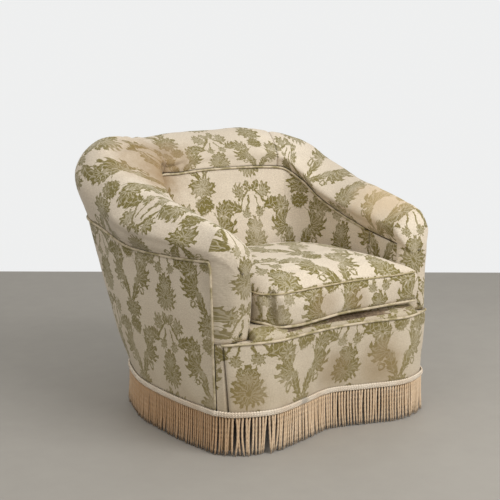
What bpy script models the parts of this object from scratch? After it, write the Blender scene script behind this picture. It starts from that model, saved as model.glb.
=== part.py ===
"""Low tub armchair with a serpentine seat front and a fringed skirt, as separate solids.

Metres, +Z up. The chair faces -Y, the floor is z = 0 and x = 0 is its plane of symmetry.
The wall of the tub runs from the left arm front (station 0) round the middle of the back
(station 6) to the right arm front (station 12). Every layer of the wall, frame, stuffing and
cover, is a section in the wall's own (outward, up) coordinates swept along those stations.
"""
import math

import bmesh
import bpy
import numpy as np
from mathutils import Matrix, Vector

# Driving dimensions of the wall at its seven stations: arm front, arm, elbow, wing, corner,
# shoulder, back.
# PLAN is the wall's mid line. The others are distances out from it (+ is outward) and heights.
PLAN_X = (-0.285, -0.303, -0.309, -0.300, -0.250, -0.150, 0.0)
PLAN_Y = (-0.268, -0.135, 0.020, 0.130, 0.215, 0.258, 0.272)
BASE_OUT = (0.037, 0.036, 0.030, 0.012, 0.022, 0.045, 0.048)
LOW_OUT = (0.041, 0.046, 0.048, 0.040, 0.057, 0.062, 0.064)
BELLY_OUT = (0.044, 0.055, 0.064, 0.062, 0.092, 0.088, 0.088)
PIPE_OUT = (0.050, 0.064, 0.077, 0.088, 0.135, 0.126, 0.125)
PIPE_UP = (0.455, 0.452, 0.456, 0.482, 0.500, 0.504, 0.505)
CROWN_OUT = (0.053, 0.082, 0.100, 0.104, 0.168, 0.158, 0.155)
CROWN_UP = (0.484, 0.500, 0.518, 0.565, 0.625, 0.630, 0.628)
TOP_OUT = (0.018, 0.020, 0.028, 0.045, 0.085, 0.056, 0.050)
TOP_UP = (0.527, 0.557, 0.588, 0.628, 0.690, 0.714, 0.710)
INSIDE_OUT = (-0.050, -0.060, -0.066, -0.068, -0.062, -0.058, -0.056)
INSIDE_UP = (0.484, 0.512, 0.545, 0.600, 0.645, 0.665, 0.668)
SEAM_OUT = (-0.040, -0.050, -0.060, -0.068, -0.064, -0.073, -0.085)
SEAM_UP = (0.440, 0.462, 0.510, 0.568, 0.605, 0.614, 0.616)
FOOT_OUT = (-0.036, -0.046, -0.056, -0.075, -0.115, -0.140, -0.155)
RIGHT_END = 12.0

# Heights shared by the whole chair.
BASE_UP = 0.098
LOW_UP = 0.200
BELLY_UP = 0.320
FOOT_UP = 0.276
RAIL_BOTTOM = 0.1116
RAIL_TOP = 0.180
BORDER_TOP = 0.2625
SEAT_UP = 0.297

# Serpentine front of the seat in plan, left half, from the corner to the middle.
FRONT_BASE = ((-0.288, -0.312), (-0.203, -0.341), (-0.100, -0.317), (0.0, -0.290))
FRONT_TOP = ((-0.304, -0.312), (-0.205, -0.351), (-0.100, -0.341), (0.0, -0.334))

# How the old stuffing has settled, as rises of the roll: the station, how far it spreads, the rise.
# The back roll has dropped beside the left corner and the left wing is bunched up.
SETTLED = ((5.0, 0.50, -0.014), (3.9, 0.50, 0.010))

# Thicknesses and clearances.
GAP = 0.0003
CORD_GAP = 0.0015
STUFFING_GAP = 0.0035
COVER = 0.003
PANEL = 0.005
INNER_PAD = 0.018
RAIL_THICK = 0.020
RAIL_DROP = 0.007
CORD_RADIUS = 0.0026

# Stations where the parts of the wall are cut from each other.
ARM_BACK_JOINT = 4.42
INNER_JOINT = 0.90
POST_FROM = 3.34
POST_TO = 3.66
STATION_GAP = 0.003

# Seat parts.
SEAT_HALF = 0.2410
SPRING_X = (-0.14, 0.0, 0.14)
SPRING_Y = (-0.19, -0.07, 0.05)
LEG_SPOTS = {"front_left": (-0.281, -0.262), "front_right": (0.281, -0.262),
             "back_left": (-0.212, 0.196), "back_right": (0.212, 0.196)}
FRINGE_STRANDS = 168

# The dimensions above are laid out from the middle of the seat. The whole chair then stands with
# the middle of its outer box over the origin.
CHAIR_SHIFT = -0.03690

BEECH = (0.52, 0.36, 0.21, 1.0)
JUTE = (0.45, 0.34, 0.20, 1.0)
FABRIC = (0.60, 0.53, 0.40, 1.0)
TRIM = (0.68, 0.52, 0.33, 1.0)
STUFFING = (0.30, 0.22, 0.14, 1.0)
STEEL = (0.40, 0.38, 0.36, 1.0)
BLACK = (0.12, 0.11, 0.10, 1.0)


def material(name, colour, roughness, metallic=0.0):
    """A plain material, made once and shared."""
    found = bpy.data.materials.get(name)
    if found:
        return found
    made = bpy.data.materials.new(name)
    made.use_nodes = True
    shader = made.node_tree.nodes["Principled BSDF"]
    shader.inputs["Base Color"].default_value = colour
    shader.inputs["Roughness"].default_value = roughness
    shader.inputs["Metallic"].default_value = metallic
    return made


def wood():
    return material("frame_wood", BEECH, 0.55)


def jute():
    return material("jute", JUTE, 0.9)


def fabric():
    return material("damask", FABRIC, 0.85)


def trim():
    return material("trim", TRIM, 0.8)


def stuffing():
    return material("stuffing", STUFFING, 0.95)


def steel():
    return material("spring_steel", STEEL, 0.4, 1.0)


def curve_at(keys, t):
    """Point at parameter t of the Catmull-Rom curve through the keys (one key per whole number)."""
    keys = np.asarray(keys, dtype=float)
    i = int(min(max(math.floor(t), 0), len(keys) - 2))
    f = t - i
    a = keys[i - 1] if i > 0 else 2 * keys[0] - keys[1]
    b = keys[i]
    c = keys[i + 1]
    d = keys[i + 2] if i + 2 < len(keys) else 2 * keys[-1] - keys[-2]
    return 0.5 * (2 * b + (c - a) * f + (2 * a - 5 * b + 4 * c - d) * f * f
                  + (3 * b - 3 * c + d - a) * f ** 3)


def both_sides(values, sign=1):
    """Station values of the left half carried on over the right half."""
    return list(values) + [sign * v for v in reversed(values[:-1])]


PLAN = np.stack([both_sides(PLAN_X, -1), both_sides(PLAN_Y)], axis=1)


def at(values, u):
    """A station value anywhere along the wall."""
    return float(curve_at(both_sides(values), u))


def mid_and_outward(u):
    """Mid point of the wall in plan and the unit vector that points out of the chair."""
    here = curve_at(PLAN, u)
    step = 0.01
    ahead = curve_at(PLAN, min(u + step, RIGHT_END)) - curve_at(PLAN, max(u - step, 0.0))
    ahead /= np.linalg.norm(ahead)
    return here, np.array([-ahead[1], ahead[0]])


def place(u, out, up):
    """Wall coordinates to a point in space."""
    mid, outward = mid_and_outward(u)
    spot = mid + outward * out
    return Vector((spot[0], spot[1], up))


def station_at_y(y):
    """Station of the left arm where the mid line has this y."""
    low, high = 0.0, 3.0
    for _ in range(40):
        half = (low + high) / 2
        if curve_at(PLAN, half)[1] < y:
            low = half
        else:
            high = half
    return low


def settled(u):
    """How much the top of the roll stands above its even height."""
    return sum(rise * math.exp(-((u - station) / spread) ** 2) for station, spread, rise in SETTLED)


def outer_out(u, up):
    """How far out the outside cover stands at a height."""
    heights = (BASE_UP, LOW_UP, BELLY_UP, at(PIPE_UP, u))
    outs = (at(BASE_OUT, u), at(LOW_OUT, u), at(BELLY_OUT, u), at(PIPE_OUT, u))
    return float(np.interp(up, heights, outs))


def inner_point(u, share, depth=0.0):
    """Wall coordinates on the inside padding, share 0 at the foot and 1 at the seam."""
    belly = 0.004 * math.sin(math.pi * share)
    out = at(FOOT_OUT, u) * (1 - share) + at(SEAM_OUT, u) * share - belly + depth
    up = FOOT_UP * (1 - share) + (at(SEAM_UP, u) + settled(u) * 0.3) * share
    return out, up


def roll_profile(u, depth=0.0, steps=11):
    """Outline of the top roll from the outer piping over the top to the inner seam, inset by depth."""
    keys = ((at(PIPE_OUT, u), at(PIPE_UP, u)),
            (at(CROWN_OUT, u), at(CROWN_UP, u)),
            (at(TOP_OUT, u), at(TOP_UP, u) + settled(u)),
            (at(INSIDE_OUT, u), at(INSIDE_UP, u) + settled(u)),
            (at(SEAM_OUT, u), at(SEAM_UP, u) + settled(u) * 0.3))
    points = np.array([curve_at(keys, 4 * i / (steps - 1)) for i in range(steps)])
    run = np.gradient(points, axis=0)
    run /= np.linalg.norm(run, axis=1)[:, None]
    inward = np.stack([-run[:, 1], run[:, 0]], axis=1)
    return points + inward * depth


def chord(u, share, below=0.0):
    """Point under the roll on the line from the piping (share 0) to the seam (share 1)."""
    line = roll_profile(u)
    start, end = line[0], line[-1]
    drop = (end - start) / np.linalg.norm(end - start)
    spot = start + (end - start) * share
    return spot + np.array([-drop[1], drop[0]]) * -below * (1 if drop[0] > 0 else -1)


def finish_mesh(name, bm, look, smooth_angle=0.9):
    """Turns the working mesh into the named object."""
    bmesh.ops.recalc_face_normals(bm, faces=bm.faces)
    mesh = bpy.data.meshes.new(name)
    bm.to_mesh(mesh)
    bm.free()
    mesh.materials.append(look)
    if smooth_angle:
        mesh.shade_smooth()
        mesh.set_sharp_from_angle(angle=smooth_angle)
    made = bpy.data.objects.new(name, mesh)
    bpy.context.collection.objects.link(made)
    return made


def draw_loop(bm, points):
    verts = [bm.verts.new(p) for p in points]
    edges = [bm.edges.new(pair) for pair in zip(verts, verts[1:] + verts[:1])]
    return verts, edges


def sweep(name, rings, look, closed=False, smooth_angle=0.9):
    """Extrudes a closed outline from ring to ring. Its ends are capped, or joined when closed."""
    bm = bmesh.new()
    loop, edges = draw_loop(bm, rings[0])
    first = edges
    for ring in rings[1:]:
        grown = bmesh.ops.extrude_edge_only(bm, edges=edges)["geom"]
        fresh = {g for g in grown if isinstance(g, bmesh.types.BMVert)}
        loop = [next(e.other_vert(v) for e in v.link_edges if e.other_vert(v) in fresh) for v in loop]
        for vert, spot in zip(loop, ring):
            vert.co = spot
        edges = [bm.edges.get(pair) for pair in zip(loop, loop[1:] + loop[:1])]
    if closed:
        bmesh.ops.bridge_loops(bm, edges=first + edges)
    else:
        bmesh.ops.contextual_create(bm, geom=first)
        bmesh.ops.contextual_create(bm, geom=edges)
    return finish_mesh(name, bm, look, smooth_angle)


def stations(start, end, count):
    return [start + (end - start) * i / (count - 1) for i in range(count)]


def wall_sweep(name, start, end, count, section, look):
    """Sweeps section(u), a list of (out, up) points, along the wall."""
    rings = [[place(u, out, up) for out, up in section(u)] for u in stations(start, end, count)]
    return sweep(name, rings, look)


def plan_prism(name, outline, bottom, top, look):
    """Straight-sided piece from an outline in plan."""
    rings = [[Vector((x, y, z)) for x, y in outline] for z in (bottom, top)]
    return sweep(name, rings, look, smooth_angle=0.6)


def front_keys(keys, start):
    """Plan points of the serpentine front, from the left piping round to the right one."""
    left = [start] + list(keys)
    return left + [(-x, y) for x, y in reversed(left[:-1])]


def front_path(keys, start, count):
    """Points along the serpentine front, from left to right."""
    whole = front_keys(keys, start)
    return [curve_at(whole, t) for t in stations(0, len(whole) - 1, count)]


def corner_point(up):
    spot = place(0.0, outer_out(0.0, up), up)
    return (spot.x, spot.y)


def base_outline(count):
    """Closed outline of the chair at the braid, evenly spaced, starting at the middle of the front."""
    wall = [place(u, at(BASE_OUT, u), 0.0) for u in stations(0.0, RIGHT_END, 145)]
    front = front_path(FRONT_BASE, corner_point(BASE_UP), 81)
    points = [np.array(p) for p in front[40:]] + [np.array(p[:2]) for p in reversed(wall[1:-1])]
    points += [np.array(p) for p in front[:41]]
    points = np.array(points)
    length = np.concatenate([[0], np.cumsum(np.linalg.norm(np.diff(points, axis=0), axis=1))])
    goal = np.linspace(0, length[-1], count + 1)[:-1]
    even = np.stack([np.interp(goal, length, points[:, k]) for k in range(2)], axis=1)
    along = np.roll(even, -1, axis=0) - np.roll(even, 1, axis=0)
    along /= np.linalg.norm(along, axis=1)[:, None]
    outward = np.stack([along[:, 1], -along[:, 0]], axis=1)
    return even, outward, length[-1]


def top_rolls():
    """Stuffing and cover of the back roll and of both arm rolls."""
    def cover_section(u):
        skin = roll_profile(u)
        lining = roll_profile(u, COVER)
        return [*skin, *reversed(lining)]

    def stuffing_section(u):
        return list(roll_profile(u, COVER + STUFFING_GAP))

    back = (ARM_BACK_JOINT + STATION_GAP, RIGHT_END - ARM_BACK_JOINT - STATION_GAP)
    left = (0.0, ARM_BACK_JOINT - STATION_GAP)
    right = (RIGHT_END - left[1], RIGHT_END)
    for side, (start, end), count in (("back", back, 11), ("left_arm", left, 15), ("right_arm", right, 15)):
        wall_sweep(side + "_roll_cover", start, end, count, cover_section, fabric())
        wall_sweep(side + "_roll_stuffing", start, end, count, stuffing_section, stuffing())


INNER_BACK = stations(INNER_JOINT + STATION_GAP, RIGHT_END - INNER_JOINT - STATION_GAP, 23)


def inner_walls():
    """Padded inside back that wraps the tub, and the inside of each arm in front of it."""
    def section(u):
        shares = (0.0, 0.33, 0.67, 1.0)
        top_cut = 0.008
        face = [inner_point(u, s * (1 - 0.02)) for s in shares]
        back = [inner_point(u, s * (1 - 0.02), INNER_PAD) for s in shares]
        back[-1] = (back[-1][0], back[-1][1] - top_cut)
        return face + list(reversed(back))

    wall_sweep("inside_back", INNER_BACK[0], INNER_BACK[-1], len(INNER_BACK), section, fabric())
    wall_sweep("left_inside_arm", 0.0, INNER_JOINT - STATION_GAP, 5, section, fabric())
    wall_sweep("right_inside_arm", RIGHT_END - INNER_JOINT + STATION_GAP, RIGHT_END, 5, section, fabric())


def outer_walls():
    """Outside covers of the arms and of the back, hung between the piping and the braid."""
    def section(u):
        top = at(PIPE_UP, u) - 0.003
        levels = (BASE_UP, LOW_UP, BELLY_UP, top)
        face = [(outer_out(u, z), z) for z in levels]
        return face + [(out - PANEL, z) for out, z in reversed(face)]

    cut = 4.0
    wall_sweep("left_outside_arm", 0.0, cut - STATION_GAP, 12, section, fabric())
    wall_sweep("right_outside_arm", RIGHT_END - cut + STATION_GAP, RIGHT_END, 12, section, fabric())
    wall_sweep("outside_back", cut, RIGHT_END - cut, 13, section, fabric())


def arm_fronts():
    """Domed pads on the fronts of the arms. The roll cover runs down over them to the seat border.

    Each dome step is its distance forward and how far the outline has drawn in on the outside,
    the inside, the top and the bottom.
    """
    bottom = 0.272
    domes = ((0.0, 0.0, 0.0, 0.0, 0.0),
             (0.012, 0.007, -0.003, 0.008, 0.0),
             (0.024, 0.018, -0.004, 0.020, 0.001),
             (0.035, 0.030, 0.001, 0.037, 0.003),
             (0.042, 0.041, 0.010, 0.057, 0.008),
             (0.046, 0.052, 0.023, 0.078, 0.015))
    foot_out = at(FOOT_OUT, 0.0)
    outer = [(outer_out(0.0, z), z) for z in (bottom, 0.33, 0.39)]
    inner = [(foot_out - 0.002, 0.39), (foot_out - 0.001, 0.33), (foot_out, bottom)]
    outline = np.array(outer + [tuple(p) for p in roll_profile(0.0)] + inner)
    centre = (outline.max(axis=0) + outline.min(axis=0)) / 2
    half = (outline.max(axis=0) - outline.min(axis=0)) / 2
    share = (outline - centre) / half
    face_y = min(place(0.0, out, 0.0).y for out in outline[:, 0]) - 2 * GAP
    for side, mirror in (("left", 1), ("right", -1)):
        rings = []
        for forward, outer_in, inner_in, top_in, bottom_in in domes:
            inset = np.stack([np.where(share[:, 0] > 0, outer_in, inner_in),
                              np.where(share[:, 1] > 0, top_in, bottom_in)], axis=1)
            shrunk = outline - share * inset
            spots = [place(0.0, out, up) for out, up in shrunk]
            rings.append([Vector((mirror * p.x, face_y - forward, p.z)) for p in spots])
        sweep(side + "_arm_front", rings, fabric())


def seat_front():
    """Serpentine border under the seat, with the narrow strip at each arm."""
    low_keys = front_keys(FRONT_BASE, corner_point(BASE_UP))
    high_keys = front_keys(FRONT_TOP, corner_point(BORDER_TOP))

    def ring(t):
        low, high = curve_at(low_keys, t), curve_at(high_keys, t)
        ahead = curve_at(low_keys, t + 0.05) - curve_at(low_keys, t - 0.05)
        inward = np.array([-ahead[1], ahead[0]]) / np.linalg.norm(ahead) * PANEL
        skin = [(low * (1 - s) + high * s, BASE_UP * (1 - s) + BORDER_TOP * s) for s in (0.0, 0.5, 1.0)]
        lining = [(spot + inward, z) for spot, z in reversed(skin)]
        return [Vector((p[0], p[1], z)) for p, z in skin + lining]

    end = len(low_keys) - 1
    strip_start, strip_end, border_start = 0.09, 0.68, 0.70
    sweep("seat_border", [ring(t) for t in stations(border_start, end - border_start, 35)], fabric())
    sweep("left_front_strip", [ring(t) for t in stations(strip_start, strip_end, 4)], fabric())
    sweep("right_front_strip", [ring(t) for t in stations(end - strip_end, end - strip_start, 4)], fabric())


def deck_back(x):
    """Back edge of the seat deck, inside the curve of the wall."""
    straight = 0.15
    share = min(max((abs(x) - straight) / (SEAT_HALF - straight), 0.0), 1.0)
    return 0.106 - 0.060 * share * share * (3 - 2 * share)


def deck_front(x):
    path = front_path(FRONT_TOP, corner_point(BORDER_TOP), 81)
    return float(np.interp(x, [p[0] for p in path], [p[1] for p in path]))


def seat_deck():
    """Rolled front lip and platform under the cushion, its pad, and the hessian over the springs."""
    columns = [SEAT_HALF * s for s in (-1, -0.85, -0.65, -0.45, -0.22, 0, 0.22, 0.45, 0.65, 0.85, 1)]

    def top_line(x, depth):
        front = deck_front(x)
        back = deck_back(x)
        middle = 0.5 * (front + back)
        return [(front + 0.005 + depth, 0.2665),
                (front + 0.007 + depth, 0.2820),
                (front + 0.020 + depth * 0.7, 0.2925 - depth * 0.7),
                (front + 0.060, SEAT_UP - depth),
                (middle, SEAT_UP - 0.007 - depth),
                (back - depth, SEAT_UP - 0.005 - depth)]

    cover = []
    pad = []
    for x in columns:
        skin = top_line(x, 0.0)
        lining = top_line(x, COVER)
        cover.append([Vector((x, y, z)) for y, z in skin + list(reversed(lining))])
        under = top_line(x, COVER + CORD_GAP)
        base = [(under[-1][0], 0.2585), (under[0][0], 0.2585)]
        pad.append([Vector((x, y, z)) for y, z in under + base])
    sweep("deck_cover", cover, fabric())
    sweep("deck_pad", pad, stuffing())
    half = 0.236
    sheet = [(-half, -0.290), (half, -0.290), (half, 0.0), (0.19, 0.085), (-0.19, 0.085), (-half, 0.0)]
    plan_prism("spring_hessian", sheet, 0.2560, 0.2575, jute())


def seat_cushion():
    """Loose cushion: flat below, crowned above, its sides drawn in between the corners."""
    half = 0.2350
    shift = 0.003
    front, back = -0.345, 0.096
    bottom, top = 0.2985, 0.380
    crown = 0.040
    back_corner = 0.024
    sulk = 0.010
    bm = bmesh.new()
    bmesh.ops.create_cube(bm, size=2.0)
    bmesh.ops.subdivide_edges(bm, edges=bm.edges[:], cuts=7, use_grid_fill=True)
    for vert in bm.verts:
        a, b, c = vert.co
        crowned = (1 - a ** 4) * (1 - b ** 4)
        bulge = 1 - c * c
        width = 1 - 0.05 * b ** 4 if b > 0 else 1 + 0.030 * b ** 8 * bulge
        round_corner = back_corner * (a * b) ** 10 if b > 0 else 0.0
        x = shift + half * a * width * (1 + 0.012 * bulge) - math.copysign(round_corner, a)
        y = (front + back) / 2 + b * (back - front) / 2 * (1 - 0.02 * a ** 4) - round_corner
        y += math.copysign(0.004 * bulge, b) * abs(b) ** 6
        z = (bottom + top) / 2 + c * (top - bottom) / 2
        z += crown * crowned * (c + 1) / 2
        left_front = max(-a, 0.0) * max(-b, 0.0)
        z -= sulk * left_front ** 2 * (c + 1) / 2
        vert.co = Vector((x, y, z))
    return finish_mesh("seat_cushion", bm, fabric(), 1.2)


def skirt():
    """Braid round the foot of the covers and the fringe hanging from it, ribbed strand by strand."""
    outline, outward, _ = base_outline(110)
    rings = []
    for spot, out in zip(outline, outward):
        section = ((0.0035, 0.092), (0.0035, 0.106), (0.0075, 0.106), (0.0098, 0.099), (0.0075, 0.092))
        rings.append([Vector((*(spot + out * d), z)) for d, z in section])
    sweep("braid", rings, trim(), closed=True)

    ribs = 2 * FRINGE_STRANDS
    outline, outward, _ = base_outline(ribs)
    rings = []
    for i, (spot, out) in enumerate(zip(outline, outward)):
        ridge = 0.0030 if i % 2 else 0.0
        section = ((-0.0030, 0.0040), (-0.0030, 0.0915), (0.0035 + ridge, 0.0915), (0.0035 + ridge, 0.0040))
        rings.append([Vector((*(spot + out * d), z)) for d, z in section])
    sweep("fringe", rings, trim(), closed=True, smooth_angle=0.5)


def cord(name, points, radius, sides=6):
    """Round cord along a path, as a bevelled curve with filled caps turned into a mesh."""
    line = bpy.data.curves.new(name, "CURVE")
    line.dimensions = "3D"
    spline = line.splines.new("POLY")
    spline.points.add(len(points) - 1)
    for target, point in zip(spline.points, points):
        target.co = (*point, 1.0)
    line.bevel_depth = radius
    line.bevel_resolution = (sides - 4) // 2
    line.use_fill_caps = True
    line.materials.append(fabric())
    made = bpy.data.objects.new(name, line)
    bpy.context.collection.objects.link(made)
    return made


def piping():
    """Self-covered cords on the seams: round the outside, round the inside back, down the arm fronts."""
    off = CORD_RADIUS + CORD_GAP
    heights = (0.110, 0.16, 0.20, 0.26, 0.32, 0.39, 0.435)
    climb = [place(0.0, outer_out(0.0, up) + off, up) for up in heights]
    outer = [place(u, at(PIPE_OUT, u) + off, at(PIPE_UP, u) - CORD_RADIUS)
             for u in stations(0.03, RIGHT_END - 0.03, 49)]
    descent = [Vector((-p.x, p.y, p.z)) for p in reversed(climb)]
    cord("outer_piping", climb + outer + descent, CORD_RADIUS)
    inner = []
    for u in stations(INNER_JOINT + 0.1, RIGHT_END - INNER_JOINT - 0.1, 41):
        out, up = inner_point(u, 0.985)
        inner.append(place(u, out - off - 0.003, up - 0.002))
    cord("collar_piping", inner, CORD_RADIUS)
    path = front_path(FRONT_TOP, corner_point(BORDER_TOP), 41)[3:-3]
    cord("border_piping", [Vector((x, y - 0.0012, BORDER_TOP + CORD_RADIUS + GAP)) for x, y in path],
         CORD_RADIUS)


def stand():
    """Hangs every piece from one empty that sets where the chair stands."""
    chair = bpy.data.objects.new("chair", None)
    bpy.context.collection.objects.link(chair)
    for piece in bpy.data.objects:
        if piece != chair:
            piece.parent = chair
    chair.location.y = CHAIR_SHIFT


def lower_frame():
    """Seat rails and the posts that stand on the legs."""
    def side_rail(u):
        out = at(BASE_OUT, u) - 0.010
        return [(out, RAIL_BOTTOM), (out, RAIL_TOP), (out - 0.026, RAIL_TOP), (out - 0.026, RAIL_BOTTOM)]

    after_front_post = station_at_y(-0.2250)
    left = (after_front_post, POST_FROM - STATION_GAP)
    wall_sweep("left_seat_rail", *left, 8, side_rail, wood())
    wall_sweep("right_seat_rail", RIGHT_END - left[1], RIGHT_END - left[0], 8, side_rail, wood())
    back = (POST_TO + STATION_GAP, RIGHT_END - POST_TO - STATION_GAP)
    wall_sweep("back_seat_rail", *back, 11, side_rail, wood())

    half = 0.2760
    path = [p for p in front_path(FRONT_BASE, corner_point(BASE_UP), 41) if abs(p[0]) < half]
    bow = [(x, y + 0.016) for x, y in path]
    outline = [(-half, -0.262), (-half, bow[0][1]), *bow, (half, bow[-1][1]), (half, -0.262)]
    plan_prism("front_seat_rail", outline, RAIL_BOTTOM, 0.236, wood())

    for side, mirror in (("left", 1), ("right", -1)):
        top = min(chord(0.2, s)[1] for s in (0, 1)) - RAIL_DROP - RAIL_THICK - 0.002
        block = [(mirror * x, y) for x, y in ((-0.304, -0.2640), (-0.2765, -0.2640),
                                              (-0.2765, -0.2280), (-0.304, -0.2280))]
        plan_prism(side + "_front_post", block, RAIL_BOTTOM, top, wood())

    def post(name, u_from, u_to):
        rings = []
        thick = 0.030
        corners = ((u_from, 0), (u_to, 0), (u_to, thick), (u_from, thick))
        middle = (u_from + u_to) / 2
        under = RAIL_DROP + RAIL_THICK + 0.001
        top = min(chord(u, share, under)[1] for u in (u_from, u_to) for share in (0.10, 0.28)) - 0.001
        for up in (RAIL_BOTTOM, LOW_UP, BELLY_UP, top):
            out = min(outer_out(u, up) for u in (u_from, middle, u_to)) - 0.014
            rings.append([place(u, out - d, up) for u, d in corners])
        sweep(name, rings, wood(), smooth_angle=0.5)

    post("left_back_post", POST_FROM, POST_TO)
    post("right_back_post", RIGHT_END - POST_TO, RIGHT_END - POST_FROM)


def upper_frame():
    """Arm rails and the bowed top rail, under the stuffing of the rolls."""
    def section(u):
        low = RAIL_DROP + RAIL_THICK
        corners = ((0.12, RAIL_DROP), (0.80, RAIL_DROP), (0.80, low), (0.12, low))
        return [tuple(chord(u, share, below)) for share, below in corners]

    joint = (POST_FROM + POST_TO) / 2
    wall_sweep("left_arm_rail", 0.02, joint - STATION_GAP, 12, section, wood())
    wall_sweep("right_arm_rail", RIGHT_END - joint + STATION_GAP, RIGHT_END - 0.02, 12, section, wood())
    wall_sweep("top_back_rail", joint, RIGHT_END - joint, 13, section, wood())


def legs():
    """Short turned legs, hidden behind the fringe."""
    for corner, (x, y) in LEG_SPOTS.items():
        bm = bmesh.new()
        height = RAIL_BOTTOM - GAP
        bmesh.ops.create_cone(bm, cap_ends=True, segments=14, radius1=0.0125, radius2=0.0165, depth=height,
                              matrix=Matrix.Translation((x, y, height / 2)))
        finish_mesh(corner + "_leg", bm, wood())


def webbing():
    """Jute straps under the springs, on the inside back, and the dust cover below."""
    half = 0.024
    thick = 0.002
    front, back, side = -0.285, 0.262, 0.305
    low = 0.1065
    cross = low + thick + 0.0005
    for i, x in enumerate(SPRING_X):
        strap = [(x - half, front), (x + half, front), (x + half, back), (x - half, back)]
        plan_prism(f"seat_strap_long_{i + 1}", strap, low, low + thick, jute())
    for i, y in enumerate(SPRING_Y):
        strap = [(-side, y - half), (side, y - half), (side, y + half), (-side, y + half)]
        plan_prism(f"seat_strap_cross_{i + 1}", strap, cross, cross + thick, jute())

    def sheet(u):
        shares = (-0.28, 0.25, 0.6, 0.93)
        front = [inner_point(u, share, INNER_PAD + 0.002) for share in shares]
        back = [inner_point(u, share, INNER_PAD + 0.0035) for share in shares]
        return front + list(reversed(back))

    behind = INNER_BACK[8:-8]
    wall_sweep("back_hessian", behind[0], behind[-1], len(behind), sheet, jute())
    half = [(0.255, -0.285), (0.255, -0.238), (0.303, -0.225), (0.303, 0.06),
            (0.255, 0.145), (0.172, 0.162), (0.172, 0.258)]
    lining = half + [(-x, y) for x, y in reversed(half)]
    plan_prism("dust_cover", lining, 0.1045, 0.1058, material("lining", BLACK, 0.9))


def springs():
    """Nine waisted coil springs tied between the straps and the hessian."""
    bottom, top = 0.1136, 0.2535
    wire = 0.0019
    turns, per_turn = 3.5, 8
    steps = int(turns * per_turn)
    for i, x in enumerate(SPRING_X):
        for j, y in enumerate(SPRING_Y):
            rings = []
            for k in range(steps + 1):
                share = k / steps
                angle = 2 * math.pi * turns * share
                radius = 0.024 + 0.011 * (2 * share - 1) ** 2
                rise = bottom + (top - bottom) * share
                centre = Vector((x + radius * math.cos(angle), y + radius * math.sin(angle), rise))
                outward = Vector((math.cos(angle), math.sin(angle), 0))
                ring = [centre + outward * wire * math.cos(a) + Vector((0, 0, wire * math.sin(a)))
                        for a in (math.pi * q / 2 for q in range(4))]
                rings.append(ring)
            sweep(f"spring_{3 * i + j + 1}", rings, steel())


def main():
    for old in list(bpy.data.objects):
        bpy.data.objects.remove(old, do_unlink=True)
    lower_frame()
    upper_frame()
    legs()
    webbing()
    springs()
    seat_deck()
    seat_front()
    top_rolls()
    inner_walls()
    outer_walls()
    arm_fronts()
    seat_cushion()
    skirt()
    piping()
    stand()


main()
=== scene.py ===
"""Looks of the old tub armchair: worn damask covers, loose cushion, piping, gimp braid and bullion fringe.

Metres, +Z up, the chair faces -Y. The wall of the tub is described as in the part's source, by
stations from the left arm front (0) round the back (6) to the right arm front (12).
"""
import functools
import math
import random

import bmesh
import bpy
import numpy as np
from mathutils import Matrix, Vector, noise
from mathutils.bvhtree import BVHTree
from mathutils.kdtree import KDTree


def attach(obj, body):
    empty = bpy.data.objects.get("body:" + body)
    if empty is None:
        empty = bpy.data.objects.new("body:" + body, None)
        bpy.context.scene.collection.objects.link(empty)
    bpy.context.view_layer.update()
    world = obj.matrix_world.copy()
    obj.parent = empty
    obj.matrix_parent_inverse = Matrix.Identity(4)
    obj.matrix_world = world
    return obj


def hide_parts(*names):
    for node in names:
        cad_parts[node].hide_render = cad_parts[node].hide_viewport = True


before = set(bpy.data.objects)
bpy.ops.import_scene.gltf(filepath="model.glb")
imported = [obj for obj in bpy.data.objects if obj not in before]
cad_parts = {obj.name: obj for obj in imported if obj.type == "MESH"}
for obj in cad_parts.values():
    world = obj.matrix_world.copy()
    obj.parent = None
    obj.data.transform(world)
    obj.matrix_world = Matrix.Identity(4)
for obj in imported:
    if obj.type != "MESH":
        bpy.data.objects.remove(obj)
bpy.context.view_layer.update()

# Driving dimensions of the wall, at its seven stations from the arm front to the middle of the back.
PLAN_X = (-0.285, -0.303, -0.309, -0.300, -0.250, -0.150, 0.0)
PLAN_Y = (-0.268, -0.135, 0.020, 0.130, 0.215, 0.258, 0.272)
BASE_OUT = (0.037, 0.036, 0.030, 0.012, 0.022, 0.045, 0.048)
LOW_OUT = (0.041, 0.046, 0.048, 0.040, 0.057, 0.062, 0.064)
BELLY_OUT = (0.044, 0.055, 0.064, 0.062, 0.092, 0.088, 0.088)
PIPE_OUT = (0.050, 0.064, 0.077, 0.088, 0.135, 0.126, 0.125)
PIPE_UP = (0.455, 0.452, 0.456, 0.482, 0.500, 0.504, 0.505)
CROWN_OUT = (0.053, 0.082, 0.100, 0.104, 0.168, 0.158, 0.155)
CROWN_UP = (0.484, 0.500, 0.518, 0.565, 0.625, 0.630, 0.628)
TOP_OUT = (0.018, 0.020, 0.028, 0.045, 0.085, 0.056, 0.050)
TOP_UP = (0.527, 0.557, 0.588, 0.628, 0.690, 0.714, 0.710)
INSIDE_OUT = (-0.050, -0.060, -0.066, -0.068, -0.062, -0.058, -0.056)
INSIDE_UP = (0.484, 0.512, 0.545, 0.600, 0.645, 0.665, 0.668)
SEAM_OUT = (-0.040, -0.050, -0.060, -0.068, -0.064, -0.073, -0.085)
SEAM_UP = (0.440, 0.462, 0.510, 0.568, 0.605, 0.614, 0.616)
FOOT_OUT = (-0.036, -0.046, -0.056, -0.075, -0.115, -0.140, -0.155)
RIGHT_END = 12.0
CHAIR_SHIFT = -0.0369
BASE_UP = 0.098
LOW_UP = 0.200
BELLY_UP = 0.320
FOOT_UP = 0.276
BORDER_TOP = 0.2625
SEAT_UP = 0.297
FRONT_BASE = ((-0.288, -0.312), (-0.203, -0.341), (-0.100, -0.317), (0.0, -0.290))
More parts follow.
